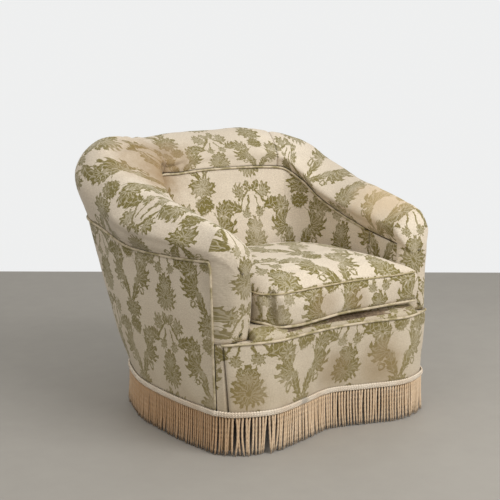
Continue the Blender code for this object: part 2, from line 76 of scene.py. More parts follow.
FRONT_TOP = ((-0.304, -0.312), (-0.205, -0.351), (-0.100, -0.341), (0.0, -0.334))
SETTLED = ((5.0, 0.50, -0.014), (3.9, 0.50, 0.010))
ARM_BACK_JOINT = 4.42
OUTSIDE_JOINT = 4.0
INNER_JOINT = 0.90
COLLAR_SHARE = 0.985
FRONT_END = 8.0
COVER = 0.003
SEAT_HALF = 0.2410

# Camera: where it stands, its turn, its tilt and its lens.
CAMERA_SPOT = (-1.5228, -2.1276, 0.8648)
CAMERA_YAW = -35.0
CAMERA_PITCH = 9.87
LENS = 72.0
SENSOR = 36.0

# Size of one repeat of the damask, in centimetres of cloth.
REPEAT_WIDE = 30.0
REPEAT_TALL = 20.0


# Shader maths. A Num is a socket of a material, and the operators on it add the Math nodes.
def add_node(tree, kind, settings=None, values=(), output=0):
    """Adds a node, sets it up, then sets or links its sockets. values is a list or a dict."""
    node = tree.nodes.new("ShaderNode" + kind)
    for name, value in (settings or {}).items():
        setattr(node, name, value)
    pairs = values.items() if isinstance(values, dict) else enumerate(values)
    for key, value in pairs:
        if isinstance(value, Num):
            tree.links.new(value.socket, node.inputs[key])
        elif value is not None:
            node.inputs[key].default_value = value
    return Num(tree, node.outputs[output])


class Num:
    def __init__(self, tree, socket):
        self.tree = tree
        self.socket = socket

    def math(self, operation, *others):
        return add_node(self.tree, "Math", {"operation": operation}, [self, *others])

    def __add__(self, other):
        return self.math("ADD", other)

    def __sub__(self, other):
        return self.math("SUBTRACT", other)

    def __rsub__(self, other):
        return add_node(self.tree, "Math", {"operation": "SUBTRACT"}, [other, self])

    def __mul__(self, other):
        return self.math("MULTIPLY", other)

    def __truediv__(self, other):
        return self.math("DIVIDE", other)

    __radd__ = __add__
    __rmul__ = __mul__


def size_of(value):
    return value.math("ABSOLUTE")


def least(a, b):
    return a.math("MINIMUM", b)


def most(a, b):
    return a.math("MAXIMUM", b)


def between(value, low, high):
    """0 below low, 1 above high, and a smooth step in between."""
    smooth = {"interpolation_type": "SMOOTHSTEP"}
    return add_node(value.tree, "MapRange", smooth, [value, low, high, 0.0, 1.0])


def part_of(vector, index):
    """X, Y or Z of a vector, for index 0, 1 or 2."""
    return add_node(vector.tree, "SeparateXYZ", {}, [vector], index)


def mix_colour(factor, a, b):
    """Colour a where the factor is 0, b where it is 1."""
    node = factor.tree.nodes.new("ShaderNodeMix")
    node.data_type = "RGBA"
    for socket, value in ((node.inputs[0], factor), (node.inputs[6], a), (node.inputs[7], b)):
        if isinstance(value, Num):
            factor.tree.links.new(value.socket, socket)
        else:
            socket.default_value = (*value, 1.0)
    return Num(factor.tree, node.outputs[2])


def overlaid(colour, *layers):
    """Lays colours over a first one, each given with how strongly it shows."""
    for shows, over in layers:
        colour = mix_colour(shows, colour, over)
    return colour


def cloud(tree, vector, scale, detail=2.0, rough=0.55, stretch=None):
    """Noise from 0 to 1."""
    if stretch:
        vector = add_node(tree, "Mapping", {}, {"Vector": vector, "Scale": stretch})
    values = {"Vector": vector, "Scale": scale, "Detail": detail, "Roughness": rough}
    return add_node(tree, "TexNoise", {}, values)


def object_place(tree):
    return add_node(tree, "TexCoord", {}, (), 3)


def coordinates(tree):
    """The cloth map of a piece, and its place in the object."""
    return add_node(tree, "UVMap", {"uv_map": "cloth"}), object_place(tree)


# The damask. Lengths are centimetres of cloth, angles run from straight up towards the side.
def wrapped(value, centre, repeat):
    """Distance from the nearest repeat of a centre."""
    return (((value - centre) / repeat + 0.5).math("FRACT") - 0.5) * repeat


def fan(dx, dy, reach, fingers, notch, span=None, swirl=0.0):
    """Leaf of pointed fingers round a centre: how far inside it a point is, and how far on a vein."""
    r = (dx * dx + dy * dy).math("SQRT")
    angle = dx.math("ARCTAN2", dy) + swirl * r
    turn = angle * (fingers / math.pi) + 0.5
    ripple = size_of(turn.math("FRACT") - 0.5) * 2
    small = size_of((turn * 3 + 0.5).math("FRACT") - 0.5) * 2
    size = reach(angle) * (1 - notch * ripple * (0.80 + 0.20 * ripple) - 0.15 * small)
    inside = size - r
    if span:
        inside = least(inside, least((angle - span[0]) * r, (span[1] - angle) * r))
    line = ripple * r * (math.pi / fingers / 2)
    side = size_of((ripple * 1.1 + r * 0.9).math("FRACT") - 0.5)
    vein = most(0.11 - line, (0.10 - side) * 0.8)
    return inside, least(vein, least(r - 0.16 * size, 0.80 * size - r))


def leaf(dx, dy, angle, length, half, teeth, bend=0.0):
    """Toothed leaf from its foot."""
    s, c = math.sin(angle), math.cos(angle)
    along = (dx * s + dy * c) / length
    across = dx * c - dy * s
    if bend:
        across = across + bend * along * along
    side = size_of(across)
    body = most(along * (1 - along) * 4, 0.0).math("POWER", 0.75)
    tooth = (along * teeth - side * 0.45).math("FRACT")
    inside = least(body * (0.55 + 0.45 * tooth) * half - side, least(along, 1 - along) * length)
    vein = most(0.10 - side, least((0.13 - tooth) * 0.9, inside - 0.15))
    return inside, least(vein, least(along - 0.12, 0.86 - along) * 4)


def twig(dx, dy, start, end, half, bow):
    """Bowed stem between two points."""
    run, rise = end[0] - start[0], end[1] - start[1]
    long = math.hypot(run, rise)
    along = ((dx - start[0]) * run + (dy - start[1]) * rise) / (long * long)
    across = ((dx - start[0]) * rise - (dy - start[1]) * run) / long
    across = across + bow * 4 * along * (1 - along)
    return least(half - size_of(across), least(along, 1 - along) * long)


def curl(dx, dy, radius, half):
    """Ring of a tendril."""
    r = (dx * dx + dy * dy).math("SQRT")
    return half - size_of(r - radius)


def damask_group():
    """Node group: cloth coordinates in, how far inside a leaf and on a vein out."""
    group = bpy.data.node_groups.new("foliage_damask", "ShaderNodeTree")
    group.interface.new_socket(name="Cloth", in_out="INPUT", socket_type="NodeSocketVector")
    group.interface.new_socket(name="Leaf", in_out="OUTPUT", socket_type="NodeSocketFloat")
    group.interface.new_socket(name="Vein", in_out="OUTPUT", socket_type="NodeSocketFloat")
    entry = group.nodes.new("NodeGroupInput")
    cloth = Num(group, entry.outputs[0])
    x = part_of(cloth, 0) * 100
    y = part_of(cloth, 1) * 100
    for scale, far in ((95.0, 1.1), (26.0, 1.8)):
        drift = add_node(group, "TexNoise", {}, {"Vector": cloth, "Scale": scale, "Detail": 1.0}, 1)
        x = x + (part_of(drift, 0) - 0.5) * far
        y = y + (part_of(drift, 1) - 0.5) * far
    a = size_of(wrapped(x, 0.0, REPEAT_WIDE))
    b = size_of(wrapped(x, REPEAT_WIDE / 2, REPEAT_WIDE))

    def up(centre):
        return wrapped(y, centre, REPEAT_TALL)

    parts = [
        # Broad pointed palmette on the second axis.
        fan(b, up(3.9), lambda t: 4.6 + 0.7 * t.math("COSINE") + 2.6 * most(1 - t / 0.7, 0.0), 7.5, 0.30),
        fan(b, up(7.3), lambda t: 2.9 + 0.9 * t.math("COSINE"), 5.5, 0.34),
        # Pair of acanthus wings on the first axis, with their stems.
        fan(a - 3.6, up(7.9), lambda t: 5.2 + 1.5 * ((t - 1.4) * 1.1).math("COSINE"), 7.5, 0.34,
            (0.05, 2.9), 0.08),
        fan(a - 5.6, up(12.2), lambda t: 3.2 + 0.9 * (t - 0.5).math("COSINE"), 5.5, 0.36, (-1.9, 2.3), -0.06),
        leaf(a - 1.0, up(0.9), 0.36, 8.6, 1.7, 6, -0.6),
        # Bloom with the bud that hangs from it.
        fan(a, up(18.9), lambda t: 3.9 - 0.35 * t.math("COSINE") - 0.7 * (t * 2).math("COSINE"), 6.5, 0.32),
        # Crossing sprigs with leaf tips and berries.
        leaf(b - 3.6, up(12.4), 1.15, 5.6, 2.0, 4),
        fan(b - 3.5, up(16.8), lambda t: 2.4 + 0.8 * (t - 1.0).math("COSINE"), 5, 0.38),
        fan(b - 2.2, up(11.3), lambda t: 1.8 + 0.4 * t.math("COSINE"), 4.5, 0.36),
        leaf(b - 0.4, up(17.0), 0.50, 3.4, 1.1, 3),
    ]
    bud_up = up(14.2)
    bud, _ = fan(a, bud_up, lambda t: 2.75 - 0.35 * (t * 2).math("COSINE"), 8, 0.16)
    arch = (a * 0.72).math("FRACT") - 0.5
    scales = (bud_up * 0.8 + arch * arch * 2.2).math("FRACT")
    parts.append((bud, least(0.16 - scales, bud - 0.3)))
    shape, veins = parts[0]
    for inside, vein in parts[1:]:
        shape = most(shape, inside)
        veins = most(veins, vein)
    for stroke in (curl(a - 4.9, up(3.9), 0.75, 0.24),
                   curl(a - 2.3, up(6.2), 0.55, 0.2),
                   twig(b, up(14.0), (-0.6, 4.6), (5.2, -2.0), 0.34, 0.5),
                   twig(b, up(14.0), (0.9, 2.0), (2.6, -3.2), 0.28, -0.3),
                   twig(a, up(4.0), (0.4, -3.0), (3.6, 3.0), 0.30, 0.4)):
        shape = most(shape, stroke)
    shape = shape + (cloud(group, cloth, 420.0, 1.0) - 0.5) * 0.6
    leave = group.nodes.new("NodeGroupOutput")
    group.links.new(shape.socket, leave.inputs[0])
    group.links.new(veins.socket, leave.inputs[1])
    return group


def new_look(name, roughness, sheen=0.0):
    """Empty Principled material. Uniform values are set on the shader's own sockets."""
    look = bpy.data.materials.new(name)
    look.use_nodes = True
    shader = look.node_tree.nodes["Principled BSDF"]
    shader.inputs["Roughness"].default_value = roughness
    shader.inputs["Sheen Weight"].default_value = sheen
    shader.inputs["Specular IOR Level"].default_value = 0.25
    return look, look.node_tree, shader


def finish_look(tree, shader, colour, height, distance=0.001, strength=0.5):
    """Links the colour, and the height as bump."""
    tree.links.new(colour.socket, shader.inputs["Base Color"])
    bump = add_node(tree, "Bump", {}, {"Strength": strength, "Distance": distance, "Height": height})
    tree.links.new(bump.socket, shader.inputs["Normal"])


def spot(tree, here, centre, radius):
    """Soft ragged patch round a point of the object, 1 in its middle."""
    away = add_node(tree, "VectorMath", {"operation": "DISTANCE"}, [here, centre], 1)
    rag = cloud(tree, here, 28.0, 3.0, 0.6)
    return 1 - between(away + (rag - 0.5) * radius * 0.6, radius * 0.25, radius)


# Grease, dirt and painted shade: the middle of each patch, its radius, its strength and its colour.
BROWN = (0.30, 0.19, 0.085)
GREY = (0.26, 0.21, 0.14)
YELLOW = (0.66, 0.47, 0.25)
STAINS_AND_PAINTED_SHADE = (
    ((-0.215, 0.13, 0.655), 0.17, 0.58, BROWN),
    ((-0.20, 0.11, 0.60), 0.08, 0.60, BROWN),
    ((-0.14, 0.15, 0.68), 0.09, 0.40, BROWN),
    ((-0.235, 0.07, 0.64), 0.07, 0.45, BROWN),
    # Painted shade: grey patches on the back roll, the far arm's top, over the fold above the near arm's
    # piping and on the near arm front.
    ((0.00, 0.23, 0.71), 0.26, 0.20, GREY),
    ((0.37, -0.02, 0.60), 0.24, 0.20, GREY),
    ((-0.375, -0.06, 0.485), 0.07, 0.32, GREY),
    ((-0.29, -0.35, 0.38), 0.13, 0.36, GREY),
    ((-0.385, 0.03, 0.490), 0.07, 0.28, GREY),
    # Stains, and a grey patch at the left of the cushion front.
    ((0.315, -0.20, 0.55), 0.16, 0.45, YELLOW),
    ((0.00, -0.34, 0.16), 0.07, 0.45, BROWN),
    ((0.14, -0.36, 0.16), 0.09, 0.50, BROWN),
    ((-0.27, -0.36, 0.14), 0.08, 0.35, BROWN),
    ((-0.20, -0.385, 0.34), 0.05, 0.40, GREY),
    ((-0.06, -0.385, 0.33), 0.06, 0.35, BROWN),
    ((0.05, -0.385, 0.33), 0.05, 0.35, BROWN),
)


# How strongly each layer of the damask's finish shows, from 0 to 1.
LEAF_SHOWS = 0.98
VEIN_SHOWS = 0.40
OUTLINE_SHOWS = 0.22
THREAD_SHOWS = 0.38
SPECKLE_SHOWS = 0.36
SLUB_SHOWS = 0.20
HEM_SHOWS = 0.35
LOW_DARKENING_SHOWS = 0.25


def damask_look(name, pattern, ground, leaf_colour, light):
    """The brocade: beige ground, olive foliage with pale veins, both worn and dirty, with grey patches of
    painted shade, and darker towards the bottom.
    """
    look, tree, shader = new_look(name, 0.78, 0.15)
    uv, here = coordinates(tree)
    cloth = tree.nodes.new("ShaderNodeGroup")
    cloth.node_tree = pattern
    tree.links.new(uv.socket, cloth.inputs[0])
    shape = Num(tree, cloth.outputs[0])
    veins = Num(tree, cloth.outputs[1])
    on_leaf = between(shape, -0.05, 0.07)
    on_vein = between(veins, -0.05, 0.05) * on_leaf
    outline = 1 - between(size_of(shape + 0.02), 0.02, 0.22)

    slub = cloud(tree, uv, 900.0, 2.0, 0.6, (0.12, 1.0, 1.0))
    grain = cloud(tree, uv, 270.0, 3.0, 0.75)
    mottle = cloud(tree, here, 9.0, 3.0, 0.6)
    green = mix_colour(between(grain, 0.3, 0.75), leaf_colour, tuple(c * 1.7 for c in leaf_colour))
    worn = between(cloud(tree, here, 15.0, 3.0, 0.6), 0.45, 0.75) * 0.30
    thread = between(grain, 0.35, 0.80)
    on_ground = 1 - on_leaf * 0.65
    speckle = between(cloud(tree, uv, 300.0, 2.0, 0.7), 0.50, 0.66)
    height_up = part_of(here, 2)
    hem = (1 - between(height_up, 0.10, 0.17)) * between(cloud(tree, here, 14.0, 3.0), 0.35, 0.7)
    # Darker towards the bottom, smoothly with height.
    low_darkening = 1 - between(height_up, 0.12, 0.50)
    colour = overlaid(
        mix_colour(mottle, ground, light),
        (on_leaf * (LEAF_SHOWS - worn), green),
        (on_vein * VEIN_SHOWS, light),
        (outline * OUTLINE_SHOWS, light),
        (thread * THREAD_SHOWS * on_ground, (0.25, 0.19, 0.105)),
        (speckle * SPECKLE_SHOWS * on_ground, (0.90, 0.81, 0.63)),
        (between(slub, 0.55, 0.85) * SLUB_SHOWS, (0.78, 0.70, 0.55)),
        # Stains, and the grey patches of painted shade.
        *((spot(tree, here, centre, radius) * amount, stain_and_shade_colour) for centre, radius, amount, stain_and_shade_colour in STAINS_AND_PAINTED_SHADE),
        (hem * HEM_SHOWS, (0.33, 0.235, 0.13)),
        (low_darkening * LOW_DARKENING_SHOWS, (0.38, 0.30, 0.15)))

    weave = cloud(tree, uv, 520.0, 2.0, 0.6, (1.0, 0.45, 1.0))
    creases = cloud(tree, here, 34.0, 3.0, 0.55)
    finish_look(tree, shader, colour, weave * 0.35 + creases * 1.2, 0.0022, 0.65)
    return look


def plain_look(name, dark, light, scale, stretch=None, roughness=0.85):
    """Fibres or grain between two colours."""
    look, tree, shader = new_look(name, roughness)
    here = object_place(tree)
    fibres = cloud(tree, here, scale, 4.0, 0.6, stretch)
    broad = cloud(tree, here, scale * 0.12, 2.0)
    colour = mix_colour(between(fibres * 0.6 + broad * 0.4, 0.3, 0.7), dark, light)
    finish_look(tree, shader, colour, fibres, 0.0006)
    return look


def cord_look(name, dark, light):
    """Cord covered in the damask, with pale and dark stretches, frayed."""
    look, tree, shader = new_look(name, 0.8, 0.1)
    uv, here = coordinates(tree)
    stretches = cloud(tree, here, 36.0, 2.0)
    fray = cloud(tree, uv, 700.0, 2.0, 0.6)
    colour = mix_colour(between(stretches + (fray - 0.5) * 0.5, 0.40, 0.62), light, dark)
    finish_look(tree, shader, colour, fray, 0.0008)
    return look


def gimp_look(name, dark, light, dusty):
    """Gimp braid: three rows of silk loops, slanting one way and the other, soiled in patches."""
    look, tree, shader = new_look(name, 0.6, 0.2)
    uv, here = coordinates(tree)
    run = part_of(uv, 0)
    row = part_of(uv, 1) * 6
    lane = row.math("FRACT")
    slant = size_of(lane - 0.5) * 2
    loops = size_of((run * 165 + slant * 0.55).math("FRACT") - 0.5) * 2
    patch = cloud(tree, here, 13.0, 3.0, 0.6)
    fibres = cloud(tree, uv, 600.0, 2.0)
    soiled = spot(tree, here, (-0.10, -0.365, 0.10), 0.022)
    colour = overlaid(
        mix_colour(between(patch, 0.3, 0.7), light, dusty),
        # Painted shade between the loops and in the grooves between the rows.
        ((1 - between(loops, 0.05, 0.40)) * 0.50, dark),
        (between(slant, 0.80, 1.0) * 0.45, dark),
        (soiled * 0.55, (0.26, 0.24, 0.21)),
        (between(fibres, 0.45, 0.8) * 0.15, (0.95, 0.86, 0.74)))
    finish_look(tree, shader, colour, loops * (1 - between(slant, 0.8, 1.0)) + fibres * 0.2, 0.0016, 0.8)
    return look


def yarn_look(name, dark, light, dusty):
    """Twisted yarn of the fringe, dirty towards the floor, and darker and browner along the chair's left
    side.
    """
    look, tree, shader = new_look(name, 0.62, 0.2)
    uv, here = coordinates(tree)
    run = part_of(uv, 0)
    turn = part_of(uv, 1)
    ply = size_of((turn * 2 + run * 330).math("FRACT") - 0.5) * 2
    fibres = cloud(tree, uv, 500.0, 2.0)
    patch = cloud(tree, here, 13.0, 3.0, 0.6)
    side_on = part_of(here, 0)
    left_side = 1 - between(side_on + (patch - 0.5) * 0.10, -0.335, -0.250)
    near_floor = 1 - between(part_of(here, 2), 0.002, 0.040)
    colour = overlaid(
        mix_colour(between(patch, 0.25, 0.75), light, dusty),
        # Darker and browner along the chair's left side.
        (left_side * 0.70, (0.60, 0.34, 0.15)),
        # Painted shade in the grooves between the plies of the twist.
        ((1 - between(ply, 0.05, 0.45)) * 0.45, dark),
        (near_floor * 0.30, (0.20, 0.155, 0.105)),
        (between(fibres, 0.45, 0.8) * 0.20, (0.80, 0.68, 0.52)))
    finish_look(tree, shader, colour, ply * 0.8 + fibres * 0.3, 0.0012, 0.7)
    return look


# Shapes of the wall, as in the part's source.
def clamp(value, low=0.0, high=1.0):
    return min(max(value, low), high)


def bell(distance, wide):
    """1 at no distance, falling off smoothly over a width."""
    return math.exp(-(distance / wide) ** 2)


def stand(x, y, up):
    """Point in space over a place in plan, moved with the whole chair."""
    return Vector((x, y + CHAIR_SHIFT, up))


def curve_at(keys, t):
    """Point at parameter t of the Catmull-Rom curve through the keys (one key per whole number)."""
    keys = np.asarray(keys, dtype=float)
    i = int(clamp(math.floor(t), 0, len(keys) - 2))
    f = t - i
    a = keys[i - 1] if i > 0 else 2 * keys[0] - keys[1]
    b = keys[i]
    c = keys[i + 1]
    d = keys[i + 2] if i + 2 < len(keys) else 2 * keys[-1] - keys[-2]
    return 0.5 * (2 * b + (c - a) * f + (2 * a - 5 * b + 4 * c - d) * f * f
                  + (3 * b - 3 * c + d - a) * f ** 3)


def both_sides(values, sign=1):
    """Station values of the left half carried on over the right half."""
    return np.array(list(values) + [sign * v for v in reversed(values[:-1])])


PLAN = np.stack([both_sides(PLAN_X, -1), both_sides(PLAN_Y)], axis=1)


@functools.lru_cache(maxsize=None)
def at(values, u):
    """A station value anywhere along the wall."""
    return float(curve_at(both_sides(values), u))


@functools.lru_cache(maxsize=None)
def mid_and_outward(u):
    """Mid point of the wall in plan and the unit vector that points out of the chair."""
    here = curve_at(PLAN, u)
    step = 0.01
    ahead = curve_at(PLAN, min(u + step, RIGHT_END)) - curve_at(PLAN, max(u - step, 0.0))
    ahead /= np.linalg.norm(ahead)
    return here, np.array([-ahead[1], ahead[0]])


def place(u, out, up):
    """Wall coordinates to a point in space."""
    mid, outward = mid_and_outward(u)
    return stand(*(mid + outward * out), up)


@functools.lru_cache(maxsize=None)
def settled(u):
    """How much the top of the roll stands above its even height."""
    return sum(rise * bell(u - station, spread) for station, spread, rise in SETTLED)


def outer_out(u, up):
    """How far out the outside cover stands at a height."""
    heights = (BASE_UP, LOW_UP, BELLY_UP, at(PIPE_UP, u))
    outs = (at(BASE_OUT, u), at(LOW_OUT, u), at(BELLY_OUT, u), at(PIPE_OUT, u))
    return float(curve_at(outs, float(np.interp(up, heights, (0, 1, 2, 3)))))


def inner_point(u, share):
    """Wall coordinates on the inside padding, share 0 at the foot and 1 at the seam."""
    belly = 0.004 * math.sin(math.pi * share)
    out = at(FOOT_OUT, u) * (1 - share) + at(SEAM_OUT, u) * share - belly
    up = FOOT_UP * (1 - share) + (at(SEAM_UP, u) + settled(u) * 0.3) * share
    return out, up


@functools.lru_cache(maxsize=None)
def roll_keys(u):
    """Section of the roll: the piping, the crown, the top, the inside and the inner seam."""
    return np.array(((at(PIPE_OUT, u), at(PIPE_UP, u)),
                     (at(CROWN_OUT, u), at(CROWN_UP, u)),
                     (at(TOP_OUT, u), at(TOP_UP, u) + settled(u)),
                     (at(INSIDE_OUT, u), at(INSIDE_UP, u) + settled(u)),
                     (at(SEAM_OUT, u), at(SEAM_UP, u) + settled(u) * 0.3)))


def stations(start, end, count):
    """Even stations from one to another, both included."""
    return [start + (end - start) * i / (count - 1) for i in range(count)]


def along_table(points):
    """Running length at each point of a line."""
    steps = [float(np.linalg.norm(b - a)) for a, b in zip(points, points[1:])]
    return np.concatenate([[0.0], np.cumsum(steps)])


def span(start, end):
    """Gives the station at a share from 0 to 1 of the way between two stations."""
    return lambda share: start + (end - start) * share


WALL_STEPS = stations(0.0, RIGHT_END, 241)
ALONG = along_table([np.array(place(u, 0.04, 0)) for u in WALL_STEPS])


def along_wall(u):
    """Length along the wall from the middle of the back, plus towards the right arm."""
    return float(np.interp(u, WALL_STEPS, ALONG)) - ALONG[-1] / 2


INSIDE_ALONG = along_table([np.array(place(u, at(SEAM_OUT, u), 0.0)) for u in WALL_STEPS])


def along_inside(u):
    """Length along the inside of the wall at the height of the seam."""
    return float(np.interp(u, WALL_STEPS, INSIDE_ALONG))


def bumps(spot_here, *layers):
    """Soft unevenness of old stuffing, each layer with its scale and its amount."""
    return sum(noise.noise(spot_here * scale) * amount for scale, amount in layers)


def crease(x, y, start, end, deep, wide):
    """Valley with raised lips along a line between two points of a surface's own coordinates."""
    run, rise = end[0] - start[0], end[1] - start[1]
    share = ((x - start[0]) * run + (y - start[1]) * rise) / (run * run + rise * rise)
    share = clamp(share, 0.02, 0.98)
    away = math.hypot(x - start[0] - run * share, y - start[1] - rise * share) / wide
    if away > 4.0:
        return 0.0
    fade = math.sin(math.pi * share) ** 0.5
    return deep * fade * (0.45 * math.exp(-((away - 1.6) ** 2)) - math.exp(-away * away))


# Meshes.
def add_object(name, data):
    """Puts a mesh, a lamp or a camera into the scene."""
    added = bpy.data.objects.new(name, data)
    bpy.context.collection.objects.link(added)
    return added


def finish_mesh(name, bm, look, smooth=True):
    """Makes an object of a bmesh and gives it its finish."""
    mesh = bpy.data.meshes.new(name)
    bm.to_mesh(mesh)
    bm.free()
    mesh.materials.append(look)
    if smooth:
        mesh.shade_smooth()
    return add_object(name, mesh)


def cloth_grid(bm, columns, rows, where, cloth):
    """Grid whose points are where(u, v), with cloth(u, v) in metres as its UV map."""
    layer = bm.loops.layers.uv.get("cloth") or bm.loops.layers.uv.new("cloth")
    grid = bmesh.ops.create_grid(bm, x_segments=columns, y_segments=rows, size=1.0)["verts"]
    flat = {vert: ((vert.co.x + 1) / 2, (vert.co.y + 1) / 2) for vert in grid}
    spread = {vert: cloth(*flat[vert]) for vert in grid}
    for vert in grid:
        for loop in vert.link_loops:
            loop[layer].uv = spread[vert]
    for vert, (u, v) in flat.items():
        vert.co = where(u, v)


def apply_modifiers(piece):
    """Puts the result of a piece's modifiers into its mesh."""
    depsgraph = bpy.context.evaluated_depsgraph_get()
    mesh = bpy.data.meshes.new_from_object(piece.evaluated_get(depsgraph))
    piece.modifiers.clear()
    piece.data = mesh


def thicken(piece, thick):
    """Gives a cover its thickness, inwards."""
    solid = piece.modifiers.new("thickness", "SOLIDIFY")
    solid.thickness = thick
    solid.offset = -1.0
    apply_modifiers(piece)


def ride(piece, slot_name, *nodes):
    """Fixes a piece to the chair and hides the nodes that it stands for."""
    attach(piece, "root")
    if nodes:
        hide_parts(*nodes)


def cover(name, bm, look, nodes, outside, slot_name="damask", thick=COVER):
    """Turns a cover's faces to where outside(point) says, gives it its thickness and hides the nodes that it
    stands for.
    """
    bmesh.ops.recalc_face_normals(bm, faces=bm.faces[:])
    bm.normal_update()
    facing = sum(f.normal.dot(outside(f.calc_center_median())) * f.calc_area() for f in bm.faces)
    if facing < 0:
        bmesh.ops.reverse_faces(bm, faces=bm.faces[:])
    piece = finish_mesh(name, bm, look)
    thicken(piece, thick)
    ride(piece, slot_name, *nodes)
    return piece


TUB_MIDDLE = Vector((0.0, 0.02, 0.0))
ROLL_RADIUS = 0.33
ROLL_HEIGHT = 0.55


def out_of_tub(spot_here):
    """Direction from the middle of the tub to the outside."""
    away = spot_here - TUB_MIDDLE
    away.z = 0.0
    return away.normalized()


def into_tub(spot_here):
    return -out_of_tub(spot_here)


def off_roll(spot_here):
    """Direction away from the core of the roll."""
    core = out_of_tub(spot_here) * ROLL_RADIUS
    core.z = ROLL_HEIGHT
    return (spot_here - core).normalized()


def forwards(spot_here):
    return Vector((0.0, -1.0, 0.0))


def tuck(distance, deep=0.003, wide=0.005):
    """How far a cover is pulled in beside a seam."""
    return deep * bell(distance, wide)


def off_edges(share, steep):
    """0 at both edges of a cover, and 1 away from them."""
    return min(1.0, steep * share, steep * (1 - share))


# Creases, each from one (station, share of the height) to another, with its depth and half width.
LEFT_ARM_CREASES = (
    ((0.6, 0.16), (2.7, 0.17), 0.0040, 0.011),
    ((4.40, 0.80), (3.45, 0.50), 0.0042, 0.007),
    ((4.42, 0.70), (3.70, 0.33), 0.0036, 0.007),
    ((4.42, 0.92), (3.30, 0.78), 0.0040, 0.008),
    ((4.42, 0.55), (4.05, 0.20), 0.0030, 0.006),
    ((0.3, 0.60), (0.9, 0.66), 0.0016, 0.008),
    ((0.9, 0.35), (1.7, 0.42), 0.0014, 0.010),
)
RIGHT_ARM_CREASES = (
    ((11.4, 0.90), (9.8, 0.86), 0.0020, 0.009),
    ((7.58, 0.85), (8.5, 0.62), 0.0026, 0.008),
    ((11.6, 0.30), (10.7, 0.40), 0.0014, 0.010),
)
BACK_CREASES = (
    ((4.43, 0.80), (5.0, 0.60), 0.0040, 0.007),
    ((4.43, 0.62), (4.9, 0.36), 0.0030, 0.007),
    ((4.43, 0.93), (5.2, 0.86), 0.0040, 0.008),
    ((5.3, 0.93), (6.4, 0.90), 0.0020, 0.008),
    ((7.56, 0.75), (7.0, 0.60), 0.0024, 0.008),
)
INSIDE_CREASES = (
    ((3.9, 0.97), (3.5, 0.55), 0.0030, 0.008),
    ((4.3, 0.97), (4.1, 0.50), 0.0028, 0.008),
    ((4.7, 0.96), (4.9, 0.70), 0.0016, 0.008),
    ((7.9, 0.95), (8.0, 0.40), 0.0016, 0.010),
)
STATION_WIDE = 0.14
ROLL_GIRTH = 0.24


def crease_sum(u, share, creases, tall):
    """All creases at one place of a cover, a station being taken as 0.14 m."""
    total = 0.0
    for start, end, deep, wide in creases:
        a = (start[0] * STATION_WIDE, start[1] * tall)
        b = (end[0] * STATION_WIDE, end[1] * tall)
        total += crease(u * STATION_WIDE, share * tall, a, b, deep, wide)
    return total


def joint_tucks(u, joints, deep, wide):
    """How far a cover is pulled in beside its upright seams."""
    return sum(tuck((u - joint) * STATION_WIDE, deep, wide) for joint in joints)


def roll_point(u, v, creases, joints):
    """Point on the roll, v 0 at the outer piping and 1 at the inner seam, with its lumps and creases."""
    keys = roll_keys(u)
    here = curve_at(keys, 4 * v)
    ahead = curve_at(keys, min(4 * v + 0.02, 4.0)) - curve_at(keys, max(4 * v - 0.02, 0.0))
    ahead /= np.linalg.norm(ahead)
    off = np.array([ahead[1], -ahead[0]])
    spot_here = place(u, *here)
    lift = bumps(spot_here, (11.0, 0.0030), (34.0, 0.0010))
    lift = lift * off_edges(v, 6) + crease_sum(u, v, creases, ROLL_GIRTH)
    lift -= tuck(v * ROLL_GIRTH, 0.0012) + tuck((1 - v) * ROLL_GIRTH, 0.0018)
    lift -= joint_tucks(u, joints, 0.0035, 0.006)
    open_end = min(u, RIGHT_END - u) * 4
    return place(u, *(here + off * max(lift, -0.0055) * min(open_end, 1.0)))


@functools.lru_cache(maxsize=None)
def roll_girth(u):
    """Length of cloth round the roll."""
    line = [curve_at(roll_keys(u), 4 * i / 12) for i in range(13)]
    return float(sum(np.linalg.norm(b - a) for a, b in zip(line, line[1:])))


def cover_roll(bm, start, end, columns, rows, creases, joints):
    """Roll cover between two stations. The cloth's pattern stands upright from inside the tub."""
    station = span(start, end)

    def cloth(s, v):
        return (along_wall(station(s)) + 0.15, 0.26 - v * roll_girth(station(s)))

    cloth_grid(bm, columns, rows, lambda s, v: roll_point(station(s), v, creases, joints), cloth)


ROLL_ROWS = 56

# Arm fronts. Each dome step: its distance forward, and how far the outline has drawn in on the
# outside, the inside, the top and the bottom.
DOMES = ((0.0, 0.0, 0.0, 0.0, 0.0),
         (0.012, 0.007, -0.003, 0.008, 0.0),
         (0.024, 0.018, -0.004, 0.020, 0.001),
         (0.035, 0.030, 0.001, 0.037, 0.003),
         (0.042, 0.041, 0.010, 0.057, 0.008),
         (0.046, 0.052, 0.023, 0.078, 0.015),
         (0.0475, 0.0655, 0.0375, 0.100, 0.030))
PAD_FOOT = 0.2645
PAD_MIDDLE = 0.014
PAD_BELLY = 0.020
CLOSING = 0.8


def front_outline():
    """Outline of the arm front: up the outside, over the roll, down the inside and back underneath."""
    foot_out = at(FOOT_OUT, 0.0)
    top = [tuple(curve_at(roll_keys(0.0), 4 * i / ROLL_ROWS)) for i in range(ROLL_ROWS + 1)]
    outer = [(outer_out(0.0, z), z) for z in np.linspace(PAD_FOOT, top[0][1], 25)[:-1]]
    inner_keys = [top[-1]] + [inner_point(0.0, share) for share in (0.67, 0.33)] + [(foot_out, PAD_FOOT)]
    inner = [tuple(curve_at(inner_keys, 3 * i / 24)) for i in range(1, 25)]
    under = [(out, PAD_FOOT) for out in np.linspace(foot_out, outer[0][0], 13)[1:]]
    return np.array(outer + top + inner + under)


